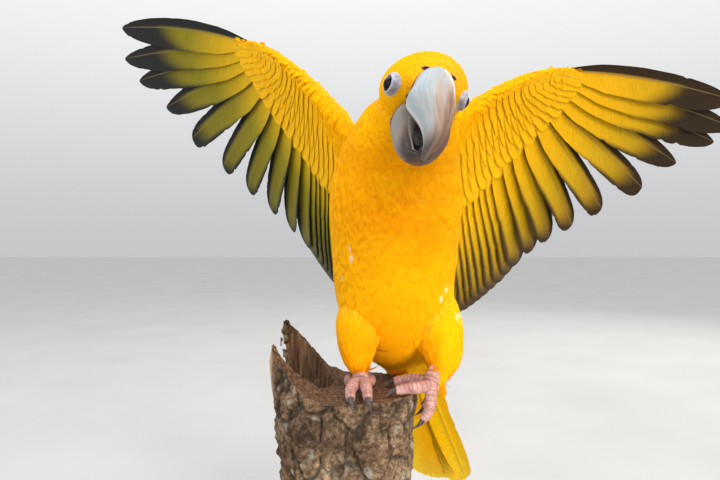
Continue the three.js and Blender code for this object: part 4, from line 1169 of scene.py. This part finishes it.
def vane(
    root, along, lead, up, length, width, shape, droop=0.0, sweep=0.0, roll=0.0, ahead=0.4, shaft=1.1, rings=40,
    columns=ACROSS,
):
    """One vane as an upper and a lower sheet of points: its points and faces, its (across, along, length) values,
    1 or 0 for the upper or lower sheet, and the way that it faces."""
    t = 1 - (1 - np.linspace(0, 1, rings)) ** 1.35
    knots = np.array(shape)
    share = np.interp(t, knots[:, 0], knots[:, 1])
    share = np.convolve(np.pad(share, 1, "edge"), [0.25, 0.5, 0.25], "valid")
    share[-1] = knots[-1, 1]
    edgeward = lead * math.cos(roll) + up * math.sin(roll)
    facing = up * math.cos(roll) - lead * math.sin(roll)
    line = root + along * (length * t)[:, None]
    line = line - up * (droop * length * t * t)[:, None] - lead * (sweep * length * t * t)[:, None]
    fore = columns > 0
    reach = columns * np.where(fore, ahead, 1 - ahead) * width
    ragged = np.ones((rings, len(columns)))
    wave = np.cumsum(rng.normal(0, 0.012, (rings, 2)), 0)
    wave -= np.linspace(0, 1, rings)[:, None] * wave[-1]
    for edge, mask in ((0, fore), (1, ~fore)):
        nick = np.zeros(rings)
        for at in rng.integers(rings // 3, rings - 2, 2):
            nick[at] = rng.uniform(0.03, 0.12)
        ragged -= ((nick - wave[:, edge])[:, None] * mask) * np.abs(columns) ** 4
    spread = reach * share[:, None] * ragged
    web = 0.32 * (1 - 0.55 * t)[:, None] * (1 - np.abs(columns)) ** 0.7
    keel = shaft * (1 - 0.8 * t)[:, None] * np.exp(-((reach / (0.75 * shaft)) ** 2)) * 0.5
    sag = 0.045 * width * share[:, None] * np.abs(columns) ** 1.6
    flat = line[:, None] + edgeward * spread[:, :, None] - facing * sag[:, :, None]
    upper = flat + facing * (web / 2 + keel)[:, :, None]
    lower = flat - facing * (web / 2 + keel)[:, :, None]
    index = np.arange(rings * len(columns)).reshape(rings, -1)
    quads = np.stack([index[:-1, :-1], index[:-1, 1:], index[1:, 1:], index[1:, :-1]], -1).reshape(-1, 4)
    if np.dot(np.cross(-edgeward, along), facing) < 0:
        quads = quads[:, ::-1]
    size = index.size
    coordinate = np.stack(np.broadcast_arrays(columns[None], t[:, None], length), -1).reshape(-1, 3)
    return (
        np.concatenate([upper.reshape(-1, 3), lower.reshape(-1, 3)]),
        np.concatenate([quads, quads[:, ::-1] + size]),
        np.concatenate([coordinate, coordinate]),
        np.repeat([1.0, 0.0], size),
        facing,
    )


def vane_piece(name, sheaf, patch, finish, soften=0.0):
    """Joins vanes, each given with its order, 0 to 1 from the outermost, and the spot of its strip or patch on
    the map."""
    made, orders, spots = zip(*sheaf)
    points, faces = joined([m[:2] for m in made])
    piece = piece_from(name, bird(points), faces, finish)
    if soften:
        facing = np.array([m[4] for m in made])
        softened(piece, np.repeat(facing, [len(m[0]) for m in made], axis=0), soften)
    point_vector(piece, "vane", np.concatenate([m[2] for m in made]))
    seeds = rng.random(len(made))
    trait = [np.stack(np.broadcast_arrays(o, m[3], s), -1) for m, o, s in zip(made, orders, seeds)]
    point_vector(piece, "trait", np.concatenate(trait))
    places = []
    for m, spot in zip(made, spots):
        across, along = m[2][:, 0] / 2, m[2][:, 1] - 0.5
        strip = np.column_stack([across * patch[0], along * patch[1]])
        places.append(np.array(spot) + strip + np.outer(m[3], (0.5, 0)))
    lay_out(piece, np.concatenate(places))
    return piece


def vane_finish(name, under, upper, dark, margins, roughness):
    """A feather's webs: colour of the lower and upper faces from base to tip, dark margins, pale shaft."""
    paint = Finish(name, Roughness=roughness, Specular_IOR_Level=0.1, Sheen_Weight=0.02, Sheen_Tint=(1, 0.85, 0.5))
    order, is_upper, seed = paint.split(paint.mask("trait", "Vector"))
    web = paint.node("Group", {"Vane": paint.mask("vane", "Vector"), "Seed": seed}, node_tree=barbs).outputs
    streak, across, along = web["Streak"], web["Across"], web["Along"]
    jag = paint.scaled(streak, 0.2, -0.1)
    reach = paint.math("ABSOLUTE", across)
    # The dark begins further in on the outermost feathers: order is 0 there and 1 at the body.
    inner = paint.rise(order, 0.0, 0.4)
    lead_from, tip_from = (
        paint.scaled(inner, late - early, early) for early, late in (margins["lead"], margins["tip"])
    )
    lead_edge = paint.rise(paint.math("SUBTRACT", paint.math("ADD", across, jag), lead_from), 0.0, 0.4)
    bowed = paint.scaled(jag, 0.6, paint.scaled(paint.times(reach, reach), 0.16, along))
    tip_edge = paint.rise(paint.math("SUBTRACT", bowed, tip_from), 0.0, 0.22)
    aft_from = paint.scaled(paint.rise(along, 0.2, 0.8), -0.3, 0.9)
    aft = paint.rise(paint.math("SUBTRACT", paint.math("SUBTRACT", jag, across), aft_from), 0.0, 0.3)
    aft = paint.times(paint.times(aft, paint.rise(along, 0.15, 0.5)), margins["aft"])
    darkness = paint.math("MAXIMUM", paint.math("MAXIMUM", lead_edge, tip_edge), aft)
    colour = paint.mix(is_upper, paint.ramp(paint.scaled(jag, 0.4, along), *under), paint.ramp(along, *upper))
    colour = paint.mix(paint.rise(streak, 0.32, 0.66), paint.tinted(colour, (0.8, 0.75, 0.7)), colour)
    colour = paint.mix(darkness, colour, dark)
    paint.look(Base_Color=paint.mix(paint.times(web["Shaft"], 0.6), colour, (0.3, 0.19, 0.07)))
    paint.relief(streak, 0.3, 0.0003)
    return paint


GREEN = [(0.0, 0.35, 0.3, 0.01), (0.25, 0.05, 0.12, 0.01), (0.6, 0.025, 0.075, 0.012), (1.0, 0.015, 0.04, 0.01)]
# The lower faces run from bright yellow at the base to dark grey: partly the webs' own colour, partly painted light
# shining through them from behind.
remex = {
    "right": vane_finish(
        "flight_web_right",
        [(0.0, 0.95, 0.52, 0.0), (0.22, 0.6, 0.38, 0.002), (0.42, 0.28, 0.23, 0.004), (0.9, 0.17, 0.155, 0.006)],
        GREEN, (0.012, 0.013, 0.013), {"lead": (-0.1, 0.3), "tip": (0.5, 0.86), "aft": 1.0}, 0.55,
    ),
    "left": vane_finish(
        "flight_web_left",
        [(0.0, 0.98, 0.5, 0.0), (0.3, 0.85, 0.45, 0.0), (0.6, 0.6, 0.36, 0.002), (0.95, 0.3, 0.17, 0.004)],
        GREEN, (0.03, 0.016, 0.005), {"lead": (-0.15, 0.3), "tip": (0.5, 0.82), "aft": 0.95}, 0.55,
    ),
}
YELLOW_VANE = [(0.0, 0.98, 0.47, 0.001), (0.5, 0.98, 0.52, 0.001), (1.0, 1.0, 0.56, 0.001)]
ALL_YELLOW = {"lead": (1.1, 1.1), "tip": (1.2, 1.2), "aft": 0.0}
covert_web = vane_finish("covert_web", YELLOW_VANE, YELLOW_VANE, (0.8, 0.36, 0.0), ALL_YELLOW, 0.6)

SHINGLE = math.radians(11)
FEATHER_WIDTH = 21.5
INNERMOST = len(ROOTS) - 1
STATIONS = np.concatenate([np.arange(10), np.linspace(9.62, INNERMOST, 11)])
MAP_EDGE, MAP_HALF = 0.02, 0.46  # a sheet's left edge and width on the map
COVERT_PATCH = (0.004, 0.004)
# Rows of coverts: face, length, how far behind the flight feathers' roots they start, count, width and lift
COVERT_ROWS = [
    (-1, 29, 9, 24, 14, 2.4), (-1, 26, 16, 23, 14, 2.8), (-1, 23, 22, 22, 13, 3.1), (-1, 19, 28, 22, 12, 3.4),
    (1, 41, 8, 21, 15, 2.6), (1, 30, 14, 20, 14, 3.2), (1, 22, 20, 20, 13, 3.7), (1, 17, 26, 19, 12, 4.2),
]
lead_edge_a, lead_edge_b = np.array(ARM_LEAD, float).T


def station_value(values, station):
    """A value between those of the two flight feathers on either side of a place along the wing."""
    return np.interp(station, np.arange(len(ROOTS)), values)


def axes(wing, angle):
    """The ways along and ahead of a vane that leaves the wing at this angle."""
    e1, e2, _ = wing["plane"]
    return e1 * math.cos(angle) + e2 * math.sin(angle), e1 * math.sin(angle) - e2 * math.cos(angle)


for name, wing in WINGS.items():
    dorsal = wing["plane"][2]
    sheaf = []
    for k, station in enumerate(STATIONS):
        along, lead = axes(wing, math.radians(station_value(wing["fan"], station)))
        a, b = (station_value(column, station) for column in zip(*ROOTS))
        inward = float(smoothstep(station, 4, 10))
        feather = vane(
            on_wing(wing, a, b), along, lead, dorsal, station_value(LENGTHS, station), FEATHER_WIDTH,
            POINTED if station < 4 else ROUNDED, 0.06 - 0.18 * inward, 0.08 if k == 0 else 0.06 - 0.03 * inward,
            SHINGLE, 0.32 + 0.1 * inward,
        )
        sheaf.append((feather, station / INNERMOST, (MAP_EDGE + MAP_HALF * (k + 0.5) / len(STATIONS), 0.5)))
    strip = (MAP_HALF / len(STATIONS) * 0.9, 0.96)
    flight = vane_piece(f"flight_feathers_{name}", sheaf, strip, remex[name])
    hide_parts(f"wing_{name}")

    sheaf = []
    for row, (face, length, behind_most, count, width, lift) in enumerate(COVERT_ROWS):
        for k in range(count):
            station = 0.7 + 14.2 * (k + 0.4) / count
            angle = math.radians(station_value(wing["fan"], station) + rng.normal(0, 1.5))
            along, lead = axes(wing, angle)
            a, b = (station_value(column, station) for column in zip(*ROOTS))
            # It starts behind the leading edge of the arm.
            behind = behind_most
            while behind > 2:
                edge = np.interp(a - math.cos(angle) * behind, lead_edge_a, lead_edge_b)
                if b - math.sin(angle) * behind >= edge + 7:
                    break
                behind -= 1
            narrow = 0.65 + 0.35 * smoothstep(station, 0, 4)
            root = on_wing(wing, a, b, face * lift * narrow) - along * behind
            feather = vane(
                root, along, lead, dorsal, (length - behind_most + behind) * rng.uniform(0.93, 1.07), width * narrow,
                COVERT_VANE, face * 0.03, 0.02, SHINGLE * 0.5, 0.45, 0.3, 12, ACROSS[::2],
            )
            spot = (MAP_EDGE + MAP_HALF * (a + 5) / 95, 0.03 + 0.94 * (row + 0.5) / len(COVERT_ROWS))
            sheaf.append((feather, station / INNERMOST, spot))
    vane_piece(f"coverts_{name}", sheaf, COVERT_PATCH, covert_web, 0.85)

# Tail: twelve graduated feathers, a little spread and yellow throughout, rooted in the rump. Soft coverts lie
# over their roots, above and below.
TAIL_ROOT = np.array([9, 21, 17])
TAIL_WAY = unit(np.array([36.0, 91, -114]))
TAIL_LENGTH, TAIL_WIDTH, TAIL_SPREAD = 146, 17, 5.8  # millimetres, and degrees to each side
tail_across = unit(np.cross(TAIL_WAY, [0, 0, 1]))
tail_up = np.cross(tail_across, TAIL_WAY)
# The tail's yellow is paler than the body's, most towards the tip: partly its own colour, partly painted sunlight on
# it.
TAIL_YELLOW = [(0.0, 1.0, 0.56, 0.0), (0.7, 1.0, 0.58, 0.002), (1.0, 1.0, 0.68, 0.03)]
TAIL_MARGINS = {"lead": (0.8, 0.8), "tip": (1.2, 1.2), "aft": 0.4}
tail_web = vane_finish("tail_web", TAIL_YELLOW, TAIL_YELLOW, (0.95, 0.46, 0.0), TAIL_MARGINS, 0.55)
TAIL_VANE = [(0, 0.35), (0.15, 0.7), (0.5, 0.98), (0.8, 0.96), (0.9, 0.84), (0.96, 0.62), (1, 0.15)]
sheaf = []
for side in (-1, 1):
    for i in range(6):
        share = (i + 0.5) / 6
        turn = turned(-side * share * TAIL_SPREAD, Vector(tail_up))
        along = np.array(turn @ Vector(TAIL_WAY))
        lead = np.array(turn @ Vector(tail_across * side))
        root = TAIL_ROOT + tail_across * side * share * 7 + tail_up * (1.5 - share * 9)
        length = TAIL_LENGTH * (1 - 0.16 * share**2)
        feather = vane(root, along, lead, tail_up, length, TAIL_WIDTH, TAIL_VANE, 0.02, 0, 0, 0.45)
        sheaf.append((feather, share, (MAP_EDGE + MAP_HALF * (len(sheaf) + 0.5) / 12, 0.5)))
tail = vane_piece("tail_feathers", sheaf, (0.034, 0.96), tail_web)
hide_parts("tail")

sheaf = []
for face in (1, -1):
    for row, (length, start, lift) in enumerate(((50, 4, 4.4), (42, -4, 5.6), (34, -11, 6.6))):
        for k in range(7):
            column = (k + 0.5) / 7 * 2 - 1 + rng.normal(0, 0.04)
            root = TAIL_ROOT + TAIL_WAY * start + tail_across * column * 10 + tail_up * (
                (lift - 1.8 * column**2) if face > 0 else (-3.4 - lift * 0.8 + 1.6 * column**2)
            )
            along = unit(TAIL_WAY + tail_across * column * 0.07)
            length_now = length * (1.18 if face < 0 else 1) * rng.uniform(0.9, 1.08)
            feather = vane(
                root, along, tail_across, tail_up, length_now, 11.5, COVERT_VANE, face * 0.03, 0, 0, 0.5, 0.3, 14,
                ACROSS[::2],
            )
            sheaf.append((feather, 0.5, (0.04 + 0.4 * (k + 0.5) / 7, 0.05 + 0.15 * (row + (face < 0) * 3))))
vane_piece("tail_coverts", sheaf, COVERT_PATCH, covert_web)

# Feet: two toes forward and two back on each, in pink skin with a row of scutes along the top of every toe,
# and dark horny claws. They grip the rim.
paint = foot_scales = Finish("foot_scales", Roughness=0.55, Subsurface_Weight=0.12)
paint.look(Subsurface_Radius=(0.002, 0.0008, 0.0005))
where = paint.place()
cells = paint.node("TexVoronoi", {"Vector": where, "Scale": 1100.0}, feature="DISTANCE_TO_EDGE").outputs["Distance"]
stain = paint.noise(where, 260, 4)
pink = paint.ramp(stain, (0.3, 0.36, 0.17, 0.14), (0.5, 0.55, 0.29, 0.24), (0.7, 0.66, 0.4, 0.34))
pink = paint.mix(paint.rise(cells, 0.1, 0.0), pink, (0.26, 0.11, 0.1))
paint.look(Base_Color=paint.mix(paint.times(paint.mask("scute"), 0.75), pink, (0.2, 0.08, 0.075)))
paint.relief(cells, 0.5, 0.0003)

paint = claw_horn = Finish("claw_horn", Coat_Weight=0.3, Coat_Roughness=0.2)
streaks = paint.noise(paint.place(), 900, 4)
paint.look(
    Base_Color=paint.ramp(streaks, (0.3, 0.018, 0.015, 0.014), (0.6, 0.06, 0.05, 0.048), (0.8, 0.16, 0.14, 0.13)),
    Roughness=paint.rise(streaks, -0.5, 1.6),
)


def toe_rings(line, radii, steps, sides, scutes):
    """A tube along a line, ringed with scutes on the side that faces up, and the mask of the grooves between them."""
    share = np.linspace(0, 1, steps + 1)
    centre = at_share(line, share)
    along = unit(np.gradient(centre, axis=0))
    up = np.array([0.0, 0, 1]) - along * along[:, 2:3]
    weak = np.linalg.norm(up, axis=1, keepdims=True) < 0.3
    up = unit(np.where(weak, np.array([0.0, -1, 0]) + along * along[:, 1:2], up))
    side = np.cross(along, up)
    turn = turns(sides)
    ring = (share * scutes) % 1
    topside = smoothstep(np.cos(turn), -0.35, 0.35)[None]
    groove = (1 - smoothstep(np.minimum(ring, 1 - ring), 0.0, 0.17))[:, None] * topside
    pads = 1 + 0.07 * np.sin(share * math.pi * 2 * 2.5)[:, None] * (1 - topside)
    radius = size_at(radii, share)[:, None] * pads * (1 - 0.1 * groove)
    rings = centre[:, None] + up[:, None] * (np.cos(turn) * radius)[:, :, None]
    rings = rings + side[:, None] * (np.sin(turn) * radius)[:, :, None]
    return rings, np.append(groove.ravel(), [0, 0])


TOE_RADII = [3.1, 3, 2.9, 2.6, 2.1]
CLAW_RADII = [1.65, 1.4, 1.05, 0.6, 0.15]
FEET = {
    "right": {
        "ankle": (-18.5, -10, 14), "palm": (-18.5, -15, 6),
        "toes": [
            ([(-18.5, -15, 5.4), (-21.5, -22, 6.4), (-23.4, -29, 5), (-23.2, -34, 2.4)], (0.35, 0.25, -0.8)),
            ([(-18.5, -15, 5.4), (-16.4, -22, 6.4), (-15.4, -29, 5), (-15, -34, 2.4)], (0.3, 0.25, -0.8)),
            ([(-18.5, -15, 5.4), (-14.4, -9, 4.6), (-13, -3, 3.8), (-12.8, 4, 3)], (0, 0.2, -0.5)),
            ([(-18.5, -14, 5), (-22.6, -9, 4), (-24.6, -3, 3.4), (-25, 4, 3)], (0, 0.2, -0.5)),
        ],
    },
    "left": {
        "ankle": (21, -11, 13), "palm": (17.5, -15, 6),
        "toes": [
            ([(17.5, -17, 4.6), (11, -21, 4.6), (5, -22, 4.2), (-1, -22.5, 3.6)], (-0.1, -0.3, -0.45)),
            ([(17.5, -13, 5.4), (11, -7, 5), (5, -4, 4.2), (-1, -4, 3.4)], (-0.1, -0.3, -0.45)),
            ([(17, -17, 5), (16.6, -21, 0), (15.6, -22.5, -6), (12.4, -23, -11)], (-0.7, 0, -0.2)),
            ([(17.5, -13, 5), (19.6, -7, 2), (18.6, -3, -5), (15.4, -2, -11)], (-0.7, 0, -0.2)),
        ],
    },
}
CLAW_STEPS = np.array([-0.18, 0.1, 0.35, 0.65, 1.0])
CLAW_LENGTH = 6.5
for name, sizes in FEET.items():
    ankle, palm = np.array(sizes["ankle"], float), np.array(sizes["palm"], float)
    shin = [ankle + (ankle - palm) * 0.1, ankle, (ankle + palm) / 2, palm, palm + (palm - ankle) * 0.15]
    tubes = [toe_rings(shin, [3.8, 3.8, 3.9, 4.4, 3.4], 30, 28, 6)]
    claws = []
    for line, down in sizes["toes"]:
        line, down = np.array(line, float), np.array(down, float)
        tubes.append(toe_rings(line, TOE_RADII, 54, 24, 9))
        heading = unit(line[-1] - line[-2])
        ahead = CLAW_LENGTH * CLAW_STEPS * np.where(CLAW_STEPS > 0, 1 - 0.35 * CLAW_STEPS, 1)
        hooked = CLAW_LENGTH * 0.75 * np.where(CLAW_STEPS > 0, CLAW_STEPS**2, 0)
        hook = line[-1] + heading * ahead[:, None] + down * hooked[:, None]
        claws.append(closed_tube(toe_rings(hook, CLAW_RADII, 24, 16, 0.001)[0]))
    points, faces = joined([closed_tube(rings) for rings, _ in tubes])
    foot = piece_from(f"foot_{name}_skin", bird(points), faces, foot_scales)
    point_value(foot, "scute", np.concatenate([grooves for _, grooves in tubes]))
    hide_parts(f"foot_{name}")
    points, faces = joined(claws)
    piece_from(f"claws_{name}", bird(points), faces, claw_horn)
